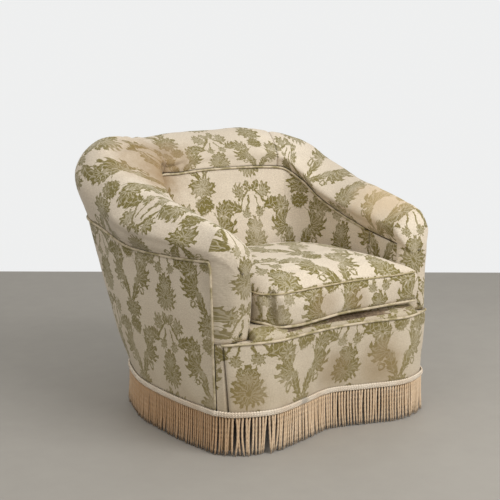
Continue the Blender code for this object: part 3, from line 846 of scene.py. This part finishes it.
def cover_front(bm, mirror):
    """Domed front pad of an arm. The pattern stands upright on it."""
    outline = front_outline()
    centre = (outline.max(axis=0) + outline.min(axis=0)) / 2
    half = (outline.max(axis=0) - outline.min(axis=0)) / 2
    share = (outline - centre) / half
    count = len(outline) - 1

    def where(q, v):
        k = round(q * count)
        forward, outer_in, inner_in, top_in, bottom_in = curve_at(DOMES, 6 * v)
        side_in = outer_in if share[k, 0] > 0 else inner_in
        end_in = top_in if share[k, 1] > 0 else bottom_in
        out, up = outline[k] - share[k] * np.array((side_in, end_in))
        out += (centre[0] - PAD_MIDDLE - out) * (max(v - CLOSING, 0.0) / (1 - CLOSING)) ** 2
        full = math.sin(math.pi * clamp((up - 0.26) / 0.19)) * min(1.0, 4 * v) * (1 - v)
        out -= PAD_BELLY * max(-share[k, 0], 0.0) * full
        spot_here = place(0.0, out, up)
        lift = bumps(spot_here + Vector((mirror * 0.3, -forward, 0.0)), (17.0, 0.0026))
        spot_here.y -= forward + lift * min(1.0, 4 * v)
        spot_here.x *= mirror
        return spot_here

    def cloth(q, v):
        spot_here = where(q, v)
        return (spot_here.x * mirror + spot_here.y * 0.5 + 0.585, spot_here.z - 0.16)

    cloth_grid(bm, count, 26, where, cloth)


def arm_cover(side, look):
    """Cover of one arm: the roll, and the padded front that it runs down over."""
    left = side == "left"
    start = 0.0 if left else RIGHT_END
    joint = ARM_BACK_JOINT - 0.003 if left else RIGHT_END - ARM_BACK_JOINT + 0.003
    bm = bmesh.new()
    creases = LEFT_ARM_CREASES if left else RIGHT_ARM_CREASES
    cover_roll(bm, start, joint, 150, ROLL_ROWS, creases, (joint,))
    cover_front(bm, 1 if left else -1)
    bmesh.ops.remove_doubles(bm, verts=bm.verts[:], dist=0.0002)
    piece = cover(side + "_arm", bm, look, (side + "_arm_roll_cover", side + "_arm_front"), off_roll)


def back_cover(look):
    """Cover of the back roll, between the seams at its corners."""
    bm = bmesh.new()
    joints = (ARM_BACK_JOINT + 0.003, RIGHT_END - ARM_BACK_JOINT - 0.003)
    cover_roll(bm, *joints, 130, ROLL_ROWS, BACK_CREASES, joints)
    piece = cover("back_roll", bm, look, ("back_roll_cover",), off_roll)


# How far the lining of an arm runs on under its front pad.
UNDER_PAD = 0.008


def inside_cover(name, start, end, columns, look):
    """Padded lining of the tub between two stations, with the seams at its ends drawn in."""
    bm = bmesh.new()
    station = span(start, end)

    def where(s, share):
        u = station(s)
        out, up = inner_point(u, share * COLLAR_SHARE)
        spot_here = place(u, out, up)
        lift = bumps(spot_here, (9.0, 0.0030), (30.0, 0.0008))
        lift += crease_sum(u, share, INSIDE_CREASES, 0.33)
        lift -= tuck((1 - share) * 0.33, 0.0020, 0.006)
        lift -= joint_tucks(u, (INNER_JOINT, RIGHT_END - INNER_JOINT), 0.0040, 0.006)
        spot_here = place(u, out - lift, up)
        spot_here.y -= UNDER_PAD * max(1 - min(u, RIGHT_END - u) / 0.12, 0.0)
        return spot_here

    def cloth(s, share):
        u = station(s)
        up = inner_point(u, share)[1]
        return ((along_inside(u) - along_inside(5.5)) / 1.1, (up - 0.57) / 1.1 + 0.189)

    cloth_grid(bm, columns, 44, where, cloth)
    piece = cover(name + "_padding", bm, look, (name,), into_tub)


def outside_cover(name, start, end, columns, look):
    """Outside panel between two stations, stretched from the piping down to the braid."""
    bm = bmesh.new()
    station = span(start, end)

    def where(s, share):
        u = station(s)
        up = BASE_UP + 0.001 + (at(PIPE_UP, u) - 0.003 - BASE_UP) * share
        out = outer_out(u, up)
        spot_here = place(u, out, up)
        lift = bumps(spot_here, (7.0, 0.0035), (26.0, 0.0007))
        lift += 0.0012 * math.sin(u * 19.0) * bell(1 - share, 0.12)
        lift = lift * off_edges(share, 8) - tuck((1 - share) * 0.36, 0.001, 0.006)
        lift -= joint_tucks(u, (OUTSIDE_JOINT, RIGHT_END - OUTSIDE_JOINT), 0.0025, 0.005)
        return place(u, out + lift, up)

    def cloth(s, share):
        u = station(s)
        up = BASE_UP + (at(PIPE_UP, u) - 0.003 - BASE_UP) * share
        return ((along_wall(u) - along_wall(2.0)) / 0.95, (up - 0.12) / 0.95)

    cloth_grid(bm, columns, 40, where, cloth)
    piece = cover(name + "_cloth", bm, look, (name,), out_of_tub)


def corner_point(up):
    """Where the seat front meets the outside of the arm, in plan."""
    spot_here = place(0.0, outer_out(0.0, up), up)
    return (spot_here.x, spot_here.y - CHAIR_SHIFT)


def front_keys(keys, start):
    """Plan points of the serpentine front, from the left piping round to the right one."""
    left = [start] + list(keys)
    return left + [(-x, y) for x, y in reversed(left[:-1])]


def front_path(keys, start, count):
    """Points along the serpentine front, from left to right."""
    whole = front_keys(keys, start)
    return [curve_at(whole, t) for t in stations(0, len(whole) - 1, count)]


FRONT_STEPS = stations(0.0, FRONT_END, 161)
FRONT_LINE = front_path(FRONT_BASE, corner_point(BASE_UP), 161)
FRONT_ALONG = along_table(FRONT_LINE)


def along_front(t):
    """Length along the serpentine front from the palmette right of its middle."""
    here = float(np.interp(t, FRONT_STEPS, FRONT_ALONG))
    return here - float(np.interp(0.038, [p[0] for p in FRONT_LINE], FRONT_ALONG))


# Share of a front panel that faces forwards; the rest is turned in over the seat rail.
FACE_SHARE = 0.86


def front_cover(name, start, end, columns, look, pleats):
    """Panel of the seat front from one key of the serpentine to another."""
    low_keys = front_keys(FRONT_BASE, corner_point(BASE_UP))
    high_keys = front_keys(FRONT_TOP, corner_point(BORDER_TOP))
    station = span(start, end)
    bm = bmesh.new()

    def where(s, share):
        t = station(s)
        low, high = curve_at(low_keys, t), curve_at(high_keys, t)
        ahead = curve_at(low_keys, t + 0.05) - curve_at(low_keys, t - 0.05)
        off = np.array([ahead[1], -ahead[0]]) / np.linalg.norm(ahead)
        turned = max(share - FACE_SHARE, 0.0) / (1 - FACE_SHARE)
        share = min(share / FACE_SHARE, 1.0)
        up = BASE_UP + 0.001 + (BORDER_TOP - BASE_UP - 0.001) * share
        up += 0.0015 * math.sin(math.pi * turned) + border_rise(t) * share
        flat_spot = low * (1 - share) + high * share - off * 0.045 * turned
        here = Vector((*flat_spot, up))
        lift = bumps(here, (8.0, 0.0030), (30.0, 0.0007))
        lift = lift * off_edges(share, 6) - tuck((1 - share) * 0.16, 0.0015, 0.006)
        for pleat, deep, wide in pleats:
            lift -= deep * bell(t - pleat, wide) * (1.15 - 0.5 * share)
        return stand(*(flat_spot + off * lift), up)

    def cloth(s, share):
        up = BASE_UP + (BORDER_TOP - BASE_UP) * share / FACE_SHARE
        return (along_front(station(s)) / 1.03 + 0.15, (up - 0.106) / 1.03)

    cloth_grid(bm, columns, 36, where, cloth)
    piece = cover(name + "_cloth", bm, look, (name,), forwards)


TOP_LINE = front_path(FRONT_TOP, corner_point(BORDER_TOP), 161)
LIP_HALF = 0.2475
LIP_FLARE = 0.016
LIP_END = 0.96


def border_rise(t):
    """How much higher the seam stands at a key of the serpentine than at the arms."""
    return 0.007 * math.sin(math.pi * clamp((t - 0.7) / 6.6)) ** 0.7


@functools.lru_cache(maxsize=None)
def deck_front(x):
    """Front edge of the seat deck, along the serpentine."""
    return float(np.interp(x, [p[0] for p in TOP_LINE], [p[1] for p in TOP_LINE]))


def deck_back(x):
    """Back edge of the seat deck, inside the curve of the wall."""
    straight = 0.15
    share = clamp((abs(x) - straight) / (SEAT_HALF - straight))
    return 0.106 - 0.060 * share * share * (3 - 2 * share)


def deck_lip(look):
    """Seat platform with its sloping front edge, sagging in the middle."""
    bm = bmesh.new()

    def where(s, v):
        side = 2 * s - 1
        x = (LIP_HALF + LIP_FLARE * max(1 - v / 0.25, 0.0)) * clamp(side / LIP_END, -1.0)
        drop = 0.030 * max(abs(side) - LIP_END, 0.0) / (1 - LIP_END)
        front, back = deck_front(x), deck_back(x)
        middle = 0.5 * (front + back)
        keys = ((front + 0.005, 0.2665), (front + 0.009, 0.2785), (front + 0.024, 0.2890),
                (front + 0.062, SEAT_UP), (middle, SEAT_UP - 0.007), (back, SEAT_UP - 0.005))
        y, up = curve_at(keys, 5 * v)
        lift = bumps(Vector((x, y, up)), (12.0, 0.0020)) * min(1.0, 8 * v)
        return stand(x, y, max(min(up + lift, SEAT_UP + 0.001) - drop, 0.2635))

    def cloth(s, v):
        spot_here = where(s, v)
        return (spot_here.x, spot_here.y + spot_here.z)

    cloth_grid(bm, 96, 40, where, cloth)
    piece = cover("seat_platform", bm, look, ("deck_cover",), lambda spot_here: Vector((0.0, -0.5, 1.0)))


# The loose cushion.
CUSHION_HALF = 0.2350
CUSHION_SHIFT = 0.003
CUSHION_FRONT = -0.345
CUSHION_BACK = 0.096
CUSHION_BOTTOM = 0.2985
CUSHION_TOP = 0.380
CUSHION_CROWN = 0.040
SWELL_CAP = 0.009
SWELL_PRESSURE = 4.0
SWELL_FRAMES = 20
VOXEL = 0.006


def cushion_point(a, b, c, slim):
    """Place on the cushion for a point of the cube from -1 to 1, drawn in by slim all round."""
    crowned = (1 - a ** 4) * (1 - b ** 4)
    bulge = 1 - c * c
    # The right front corner is pushed out, the left one is drawn in, and the back ones are round.
    width = 1 - 0.05 * b ** 4 if b > 0 else 1 + (0.090 if a > 0 else -0.040) * b ** 8
    corner = 0.024 * (a * b) ** 10 if b > 0 else (0.004 if a > 0 else 0.027) * (a * b) ** 12
    x = CUSHION_SHIFT + (CUSHION_HALF - slim) * a * width * (1 + 0.012 * bulge)
    x -= math.copysign(corner, a)
    reach = (CUSHION_BACK - CUSHION_FRONT) / 2 - slim
    y = (CUSHION_FRONT + CUSHION_BACK) / 2 + b * reach * (1 - 0.02 * a ** 4)
    y -= math.copysign(corner, b)
    y += math.copysign(0.004 * bulge, b) * abs(b) ** 6
    y -= 0.008 * max(a, 0.0) ** 4 * max(-b, 0.0) ** 4
    tall = CUSHION_TOP - CUSHION_BOTTOM - slim
    z = (CUSHION_BOTTOM + CUSHION_TOP) / 2 + c * tall / 2
    z += (CUSHION_CROWN - slim) * crowned * (c + 1) / 2
    # The left of the front edge droops over the lip of the seat.
    droop = max(-b, 0.0) ** 16 * (1 - c) / 2
    z -= 0.013 * droop * clamp((0.05 - a) / 0.5)
    x += 0.010 * droop * max(-a, 0.0) ** 4
    left_front = max(-a, 0.0) * max(-b, 0.0)
    z -= 0.010 * left_front ** 2 * (c + 1) / 2
    return stand(x, y, z)


def swell(piece, cap):
    """Fills a cushion by cloth simulation, without letting a point move further than the cap."""
    even = piece.modifiers.new("even", "REMESH")
    even.mode = "VOXEL"
    even.voxel_size = VOXEL
    apply_modifiers(piece)
    start = np.array([v.co for v in piece.data.vertices])
    fill = piece.modifiers.new("fill", "CLOTH")
    fill.settings.quality = 5
    fill.settings.use_pressure = True
    fill.settings.uniform_pressure_force = SWELL_PRESSURE
    fill.settings.effector_weights.gravity = 0.0
    for frame_number in range(1, SWELL_FRAMES + 1):
        bpy.context.scene.frame_set(frame_number)
    apply_modifiers(piece)
    bpy.context.scene.frame_set(1)
    end = np.array([v.co for v in piece.data.vertices])
    move = end - start
    length = np.linalg.norm(move, axis=1)[:, None]
    end = start + move * np.minimum(1.0, cap / np.maximum(length, 1e-9))
    piece.data.vertices.foreach_set("co", end.astype(np.float32).ravel())
    smoother = piece.modifiers.new("finer", "SUBSURF")
    smoother.levels = 1
    smoother.render_levels = 1
    apply_modifiers(piece)


def cushion_loop(level, count):
    """Points on the cube round the cushion's top or bottom seam, where level is 1 or -1."""
    quarter = count // 4
    run = [-1 + 2 * i / quarter for i in range(quarter)]
    loop = [(t, -1.0) for t in run] + [(1.0, t) for t in run]
    loop += [(-t, 1.0) for t in run] + [(-1.0, -t) for t in run]
    return [(a, b, level) for a, b in loop]


def cushion_seams(piece):
    """Points and outward directions along the top and the bottom seam of the cushion."""
    tree = BVHTree.FromObject(piece, bpy.context.evaluated_depsgraph_get())
    seams = []
    for level in (1.0, -1.0):
        aims = [cushion_point(a, b, c, 0.0) for a, b, c in cushion_loop(level, 160)]
        seams.append([tree.find_nearest(aim)[:2] for aim in aims])
    return seams


# Folds of the cushion, in plan: from one point to another, with their depth and half width.
CUSHION_CREASES = (
    ((-0.20, 0.02), (0.05, 0.045), 0.0030, 0.008),
    ((-0.10, -0.02), (0.12, 0.0), 0.0022, 0.009),
    ((-0.21, -0.06), (-0.05, -0.03), 0.0022, 0.010),
    ((0.08, 0.03), (0.21, 0.0), 0.0020, 0.009),
    ((-0.20, -0.30), (-0.05, -0.33), 0.0016, 0.009),
    ((0.02, -0.33), (0.18, -0.31), 0.0016, 0.009),
)


def cushion_creases(spot_here):
    """Folds across the back of the cushion and slack along its front edge."""
    total = 0.0
    for start, end, deep, wide in CUSHION_CREASES:
        total += crease(spot_here.x, spot_here.y, start, end, deep, wide)
    return total * (1.0 if spot_here.z > 0.36 else 0.3)


def sink_seams(bm, seams):
    """Draws the cushion in at its seams, and gives it its lumps and folds."""
    spots = [spot_here for line in seams for spot_here, _ in line]
    finder = KDTree(len(spots))
    for i, spot_here in enumerate(spots):
        finder.insert(spot_here, i)
    finder.balance()
    moves = []
    for vert in bm.verts:
        _, _, distance = finder.find(vert.co)
        lift = -tuck(distance, 0.0030, 0.006)
        top = vert.normal.z > 0.3
        lift += bumps(vert.co, (12.0, 0.0028 if top else 0.0018), (36.0, 0.0008))
        lift += cushion_creases(vert.co)
        moves.append(vert.normal * lift)
    for vert, move in zip(bm.verts, moves):
        vert.co += move


def lay_cushion_cloth(bm):
    """Cloth map of the cushion: flat over the top, upright on the four sides."""
    layer = bm.loops.layers.uv.new("cloth")
    for face in bm.faces:
        n = face.normal
        for loop in face.loops:
            x, y, z = loop.vert.co
            if abs(n.z) > 0.55:
                loop[layer].uv = (x, y)
            elif abs(n.y) > abs(n.x):
                loop[layer].uv = (x + 0.03, z - 0.24)
            else:
                loop[layer].uv = (y, z - 0.24)


def loose_cushion(look, top_cord, cord):
    """Loose box cushion with its two rows of piping."""
    bm = bmesh.new()
    bmesh.ops.create_cube(bm, size=2.0)
    bmesh.ops.subdivide_edges(bm, edges=bm.edges[:], cuts=23, use_grid_fill=True)
    for vert in bm.verts:
        vert.co = cushion_point(*vert.co, SWELL_CAP * 0.15)
    piece = finish_mesh("seat_cushion_soft", bm, look)
    swell(piece, SWELL_CAP)
    seams = cushion_seams(piece)
    bm = bmesh.new()
    bm.from_mesh(piece.data)
    bm.normal_update()
    sink_seams(bm, seams)
    lay_cushion_cloth(bm)
    bm.to_mesh(piece.data)
    bm.free()
    piece.data.shade_smooth()
    ride(piece, "cushion_damask", "seat_cushion")
    for name, line, off_seam, radius, finish in (
            ("cushion_top_piping", seams[0], -0.0002, 0.0021, top_cord),
            ("cushion_bottom_piping", seams[1], 0.0012, 0.0031, cord)):
        path = [spot_here + off * off_seam for spot_here, off in line]
        make_cord(name, smooth_loop(path, 320), radius, finish)


def evenly(points, count):
    """A line sampled at even distances into count steps, and its length."""
    length = along_table(points)
    goal = np.linspace(0, length[-1], count + 1)
    return np.stack([np.interp(goal, length, column) for column in points.T], axis=1), length[-1]


def smooth_loop(path, count):
    """Closed path smoothed and sampled evenly."""
    points = np.array([tuple(p) for p in path])
    for _ in range(3):
        points = (np.roll(points, 1, axis=0) + 2 * points + np.roll(points, -1, axis=0)) / 4
    even, _ = evenly(np.vstack([points, points[:1]]), count)
    return [Vector(p) for p in even]


def carried_frames(path):
    """Two directions across a path at each of its points, carried along it without twisting."""
    ahead = [(path[min(i + 1, len(path) - 1)] - path[max(i - 1, 0)]).normalized() for i in range(len(path))]
    side = ahead[0].orthogonal().normalized()
    frames = []
    for direction in ahead:
        side = (side - direction * side.dot(direction)).normalized()
        frames.append((side, direction.cross(side)))
    return frames


def tube(bm, path, radius, sides, twist=0.0, squash=1.0, offset=0.0):
    """Round cord along a path, of radius(share of its length). twist is in radians from end to end."""
    frames = carried_frames(path)
    length = along_table([np.array(p) for p in path])
    count = len(path) - 1

    def where(q, v):
        k = round(v * count)
        angle = 2 * math.pi * q + twist * v
        side, other = frames[k]
        r = radius(v)
        return path[k] + side * (r * math.cos(angle)) + other * (r * squash * math.sin(angle))

    def cloth(q, v):
        return (length[round(v * count)] + offset, q)

    cloth_grid(bm, sides, count, where, cloth)


def close_tubes(bm):
    """Joins the long edge of each tube and closes its ends."""
    bmesh.ops.remove_doubles(bm, verts=bm.verts[:], dist=0.00002)
    bmesh.ops.holes_fill(bm, edges=bm.edges[:])
    bmesh.ops.recalc_face_normals(bm, faces=bm.faces[:])


def make_cord(name, path, radius, look, nodes=()):
    """Piping cord, slightly uneven where the cloth has worn."""
    def worn_radius(v):
        return radius * (1 + 0.10 * noise.noise(Vector((v * len(path) * 0.3, radius * 900, 0))))

    bm = bmesh.new()
    tube(bm, path, worn_radius, 10)
    close_tubes(bm)
    ride(finish_mesh(name, bm, look), "piping", *nodes)


# Heights between which the outer piping climbs an arm front.
PIPING_CLIMB = (0.108, 0.438)


def piping(look):
    """Self-covered cords on the seams: under the rolls, round the inside back, along the seat border."""
    off = 0.0008
    cord = 0.0030
    climb = [place(0.0, outer_out(0.0, up) + off, up) for up in stations(*PIPING_CLIMB, 17)]
    outer = [place(u, at(PIPE_OUT, u) + off, at(PIPE_UP, u) - 0.0015)
             for u in stations(0.03, RIGHT_END - 0.03, 300)]
    descent = [Vector((-p.x, p.y, p.z)) for p in reversed(climb)]
    make_cord("outer_cord", climb + outer + descent, cord, look, ("outer_piping",))
    inner = []
    for u in stations(INNER_JOINT + 0.1, RIGHT_END - INNER_JOINT - 0.1, 260):
        out, up = inner_point(u, COLLAR_SHARE)
        inner.append(place(u, out - off - 0.0005, up + 0.001))
    make_cord("collar_cord", inner, cord, look, ("collar_piping",))
    path = list(enumerate(front_path(FRONT_TOP, corner_point(BORDER_TOP), 221)))[16:-16]
    border = [stand(x, y + 0.0004, BORDER_TOP + 0.0010 + border_rise(FRONT_END * i / 220))
              for i, (x, y) in path]
    make_cord("border_cord", border, cord, look, ("border_piping",))


def base_outline(count):
    """Closed outline of the chair at the braid, evenly spaced, starting at the middle of the front."""
    wall = [place(u, at(BASE_OUT, u), 0.0) for u in stations(0.0, RIGHT_END, 145)]
    front = [np.array((p[0], p[1] + CHAIR_SHIFT)) for p in front_path(FRONT_BASE, corner_point(BASE_UP), 81)]
    points = front[40:] + [np.array(p[:2]) for p in reversed(wall[1:-1])] + front[:41]
    even, girth = evenly(np.array(points), count)
    even = even[:-1]
    along = np.roll(even, -1, axis=0) - np.roll(even, 1, axis=0)
    along /= np.linalg.norm(along, axis=1)[:, None]
    outward = np.stack([along[:, 1], -along[:, 0]], axis=1)
    return even, outward, girth


BRAID_UP = 0.0925
BRAID_TALL = 0.0135


def braid(look):
    """Gimp braid: a ribbed band between two twisted edges, the upper one scalloped."""
    count = 1080
    loops = 330
    outline, outward, girth = base_outline(count)
    outline = np.vstack([outline, outline[:1]])
    outward = np.vstack([outward, outward[:1]])
    bm = bmesh.new()

    def where(s, v):
        k = round(s * count)
        turn = 2 * math.pi * s * loops
        scallop = 0.0009 * math.cos(turn) * (1 if v > 0.85 else 0)
        ribs = 0.0009 * math.cos(turn + 6.0 * abs(v - 0.5))
        edges = 0.0011 * (bell(v - 0.12, 0.1) + bell(v - 0.88, 0.1))
        out = 0.0040 + 0.0040 * math.sin(math.pi * v) ** 0.6 + ribs + edges
        spot_here = outline[k] + outward[k] * out
        return Vector((spot_here[0], spot_here[1], BRAID_UP + BRAID_TALL * v + scallop))

    cloth_grid(bm, count, 12, where, lambda s, v: (s * girth, v * 0.5))
    bmesh.ops.remove_doubles(bm, verts=bm.verts[:], dist=0.00002)
    cover("gimp_braid", bm, look, ("braid",), out_of_tub, "trim", 0.0025)


FRINGE_CORDS = 300
FRINGE_LONG = 0.0905
FRINGE_THICK = 0.0037
FRINGE_TOP = 0.0965


def fringe(look):
    """Bullion fringe: twisted cords side by side, worn out of line at the corners and pulled apart."""
    draw = random.Random(7)
    outline, outward, _ = base_outline(FRINGE_CORDS)
    bm = bmesh.new()
    steps = 8
    for foot, out in zip(outline, outward):
        along = np.array([-out[1], out[0]])
        here = Vector((foot[0], foot[1], 0.0))
        calm = noise.noise(here * 9.0)
        restless = 1.0 + 2.2 * bell((Vector((-0.262, -0.375, 0.0)) - here).length, 0.07)
        restless += 1.0 * bell((Vector((0.255, -0.37, 0.0)) - here).length, 0.05)
        lean = 0.008 * calm + draw.gauss(0.0, 0.0011) * restless
        bow = draw.gauss(0.0, 0.0008) * restless
        kick = 0.004 + 0.003 * calm + draw.gauss(0.0, 0.0010) * restless
        length = FRINGE_LONG + draw.gauss(0.0, 0.0014) - abs(lean) * 0.3
        thick = FRINGE_THICK + draw.gauss(0.0, 0.00015)
        path = []
        for step in range(steps + 1):
            v = step / steps
            sway = lean * v * v + bow * math.sin(math.pi * v)
            away = 0.0022 + kick * v * v
            spot_here = foot + along * sway + out * away
            up = max(FRINGE_TOP - length * v - 0.0045 * v, 0.0008)
            path.append(Vector((spot_here[0], spot_here[1], up)))
        start = draw.random() * 6

        def radius(v, thick=thick):
            return thick * (0.50 if v > 0.99 else 1.0 - 0.14 * v)

        tube(bm, path, radius, 6, twist=steps * 0.80, squash=0.80, offset=start)
    close_tubes(bm)
    ride(finish_mesh("bullion_fringe", bm, look), "trim", "fringe")


def dress(names, look):
    """Gives carried-over nodes their finish."""
    for name in names:
        for slot_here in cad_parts[name].material_slots:
            slot_here.material = look


def named(*words):
    """Names of the carried-over nodes that hold one of the words."""
    return [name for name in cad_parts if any(word in name for word in words)]


def place_camera():
    """Camera at the photograph's viewing angle."""
    camera = bpy.data.cameras.new("camera")
    camera.lens = LENS
    camera.sensor_width = SENSOR
    camera_object = add_object("camera", camera)
    camera_object.location = Vector(CAMERA_SPOT) + Vector((0.0, CHAIR_SHIFT, 0.0))
    camera_object.rotation_euler = (math.radians(90.0 - CAMERA_PITCH), 0.0, math.radians(CAMERA_YAW))
    bpy.context.scene.camera = camera_object


# Corners of the studio floor, by the corner of the grid that each is made from.
FLOOR = {(-1, -1): (-6.0, -7.0), (1, -1): (7.0, -7.0), (-1, 1): (-6.0, 6.47), (1, 1): (7.0, -2.88)}


def lay_floor():
    """Plain pale floor."""
    look, tree, shader = new_look("studio_floor", 0.62)
    here = object_place(tree)
    broad = cloud(tree, here, 1.4, 4.0, 0.6)
    fine = cloud(tree, here, 14.0, 5.0, 0.65)
    colour = mix_colour(broad * 0.6 + fine * 0.4, (0.30, 0.28, 0.25), (0.40, 0.375, 0.335))
    finish_look(tree, shader, colour, fine, 0.002, 0.15)
    bm = bmesh.new()
    bmesh.ops.create_grid(bm, x_segments=1, y_segments=1, size=1.0)
    for vert in bm.verts:
        vert.co = (*FLOOR[(round(vert.co.x), round(vert.co.y))], 0.0)
    finish_mesh("floor", bm, look, smooth=False)


def light_world():
    """Soft light from all round, and a pale backdrop behind it."""
    world = bpy.data.worlds.new("studio")
    bpy.context.scene.world = world
    world.use_nodes = True
    tree = world.node_tree
    tree.nodes.clear()
    seen, glossy, through = (add_node(tree, "LightPath", {}, (), output) for output in (0, 3, 6))
    light = add_node(tree, "Background", {}, {"Color": (1.0, 0.985, 0.95, 1.0), "Strength": 0.50})
    wall = add_node(tree, "Background", {}, {"Color": (0.86, 0.865, 0.865, 1.0), "Strength": 1.0})
    mixed = add_node(tree, "MixShader", {}, [most(most(seen, glossy), through), light, wall])
    leave = tree.nodes.new("ShaderNodeOutputWorld")
    tree.links.new(mixed.socket, leave.inputs[0])


# Each lamp: its name, its place, the height that it is aimed at, its size and its power.
LAMPS = (("key", (0.7, -2.4, 2.4), 0.35, 2.0, 74.0),
         ("top", (-0.4, 0.3, 3.0), 0.3, 2.4, 9.0),
         ("fill", (-2.5, -1.0, 2.4), 0.3, 2.4, 14.0))


def hang_lamps():
    """Soft lamps above and beside the camera."""
    for name, spot_here, aim_up, size, power in LAMPS:
        lamp = bpy.data.lights.new(name, "AREA")
        lamp.energy = power
        lamp.size = size
        lamp_object = add_object(name, lamp)
        lamp_object.location = spot_here
        direction = Vector((0.0, 0.0, aim_up)) - Vector(spot_here)
        lamp_object.rotation_euler = direction.to_track_quat("-Z", "Y").to_euler()


def studio():
    """Pale floor and backdrop, soft lamps, and the camera."""
    place_camera()
    lay_floor()
    light_world()
    hang_lamps()
    bpy.context.scene.view_settings.view_transform = "Standard"


STRIP_START = 0.09
STRIP_PLEAT = 0.69
BORDER_START = 0.70
BORDER_PLEAT = 0.72


def covers(damask):
    """All fixed covers of the tub and of the seat front."""
    arm_cover("left", damask)
    arm_cover("right", damask)
    back_cover(damask)
    inside_cover("inside_back", INNER_JOINT, RIGHT_END - INNER_JOINT, 210, damask)
    inside_cover("left_inside_arm", 0.0, INNER_JOINT, 24, damask)
    inside_cover("right_inside_arm", RIGHT_END - INNER_JOINT, RIGHT_END, 24, damask)
    outside_cover("left_outside_arm", 0.0, OUTSIDE_JOINT, 110, damask)
    outside_cover("right_outside_arm", RIGHT_END - OUTSIDE_JOINT, RIGHT_END, 110, damask)
    outside_cover("outside_back", OUTSIDE_JOINT, RIGHT_END - OUTSIDE_JOINT, 110, damask)
    pleats = [(key, 0.004, 0.02) for key in (BORDER_PLEAT, FRONT_END - BORDER_PLEAT)]
    front_cover("seat_border", BORDER_START, FRONT_END - BORDER_START, 150, damask, pleats)
    for name, start, end, pleat in (
            ("left_front_strip", STRIP_START, STRIP_PLEAT, STRIP_PLEAT),
            ("right_front_strip", FRONT_END - STRIP_PLEAT, FRONT_END - STRIP_START, FRONT_END - STRIP_PLEAT)):
        front_cover(name, start, end, 24, damask, ((pleat, 0.012, 0.10),))


def hidden_parts():
    """Finishes of the frame, the springs and the stuffing."""
    wood = plain_look("beech", (0.30, 0.18, 0.09), (0.52, 0.36, 0.20), 60.0, (1.0, 1.0, 0.12), 0.5)
    dress(named("rail", "post", "leg"), wood)
    jute = plain_look("jute_webbing", (0.25, 0.18, 0.10), (0.45, 0.34, 0.20), 420.0)
    dress(named("strap", "hessian"), jute)
    hair = plain_look("hair_stuffing", (0.10, 0.07, 0.045), (0.34, 0.25, 0.16), 160.0)
    dress(named("stuffing", "deck_pad"), hair)
    steel = plain_look("old_spring_wire", (0.16, 0.13, 0.11), (0.42, 0.40, 0.38), 90.0, None, 0.4)
    steel.node_tree.nodes["Principled BSDF"].inputs["Metallic"].default_value = 1.0
    dress(named(*(f"spring_{i}" for i in range(1, 10))), steel)
    lining = plain_look("black_lining", (0.010, 0.009, 0.009), (0.028, 0.026, 0.025), 500.0)
    dress(named("dust_cover"), lining)


def main():
    studio()
    pattern = damask_group()
    ground = (0.62, 0.515, 0.405)
    olive = (0.122, 0.096, 0.010)
    pale = (0.81, 0.715, 0.575)
    damask = damask_look("worn_damask", pattern, ground, olive, pale)
    fresh = damask_look("cushion_damask", pattern, ground, olive, pale)
    # Darker copy of the damask for the seat platform: painted shade from the cushion above it, and dirt.
    platform = damask_look("platform_damask_shaded_and_dirty", pattern, (0.47, 0.385, 0.285), olive, (0.60, 0.525, 0.40))
    seam_cord = cord_look("cushion_seam_cloth", (0.34, 0.28, 0.13), (0.56, 0.46, 0.31))
    cord = cord_look("piping_cloth", (0.36, 0.30, 0.16), (0.64, 0.54, 0.39))
    gimp = gimp_look("braid_yarn", (0.30, 0.21, 0.13), (0.98, 0.86, 0.70), (0.86, 0.70, 0.53))
    yarn = yarn_look("fringe_yarn", (0.34, 0.21, 0.12), (0.96, 0.74, 0.51), (0.80, 0.58, 0.36))
    covers(damask)
    deck_lip(platform)
    loose_cushion(fresh, seam_cord, cord)
    piping(cord)
    braid(gimp)
    fringe(yarn)
    hidden_parts()


main()
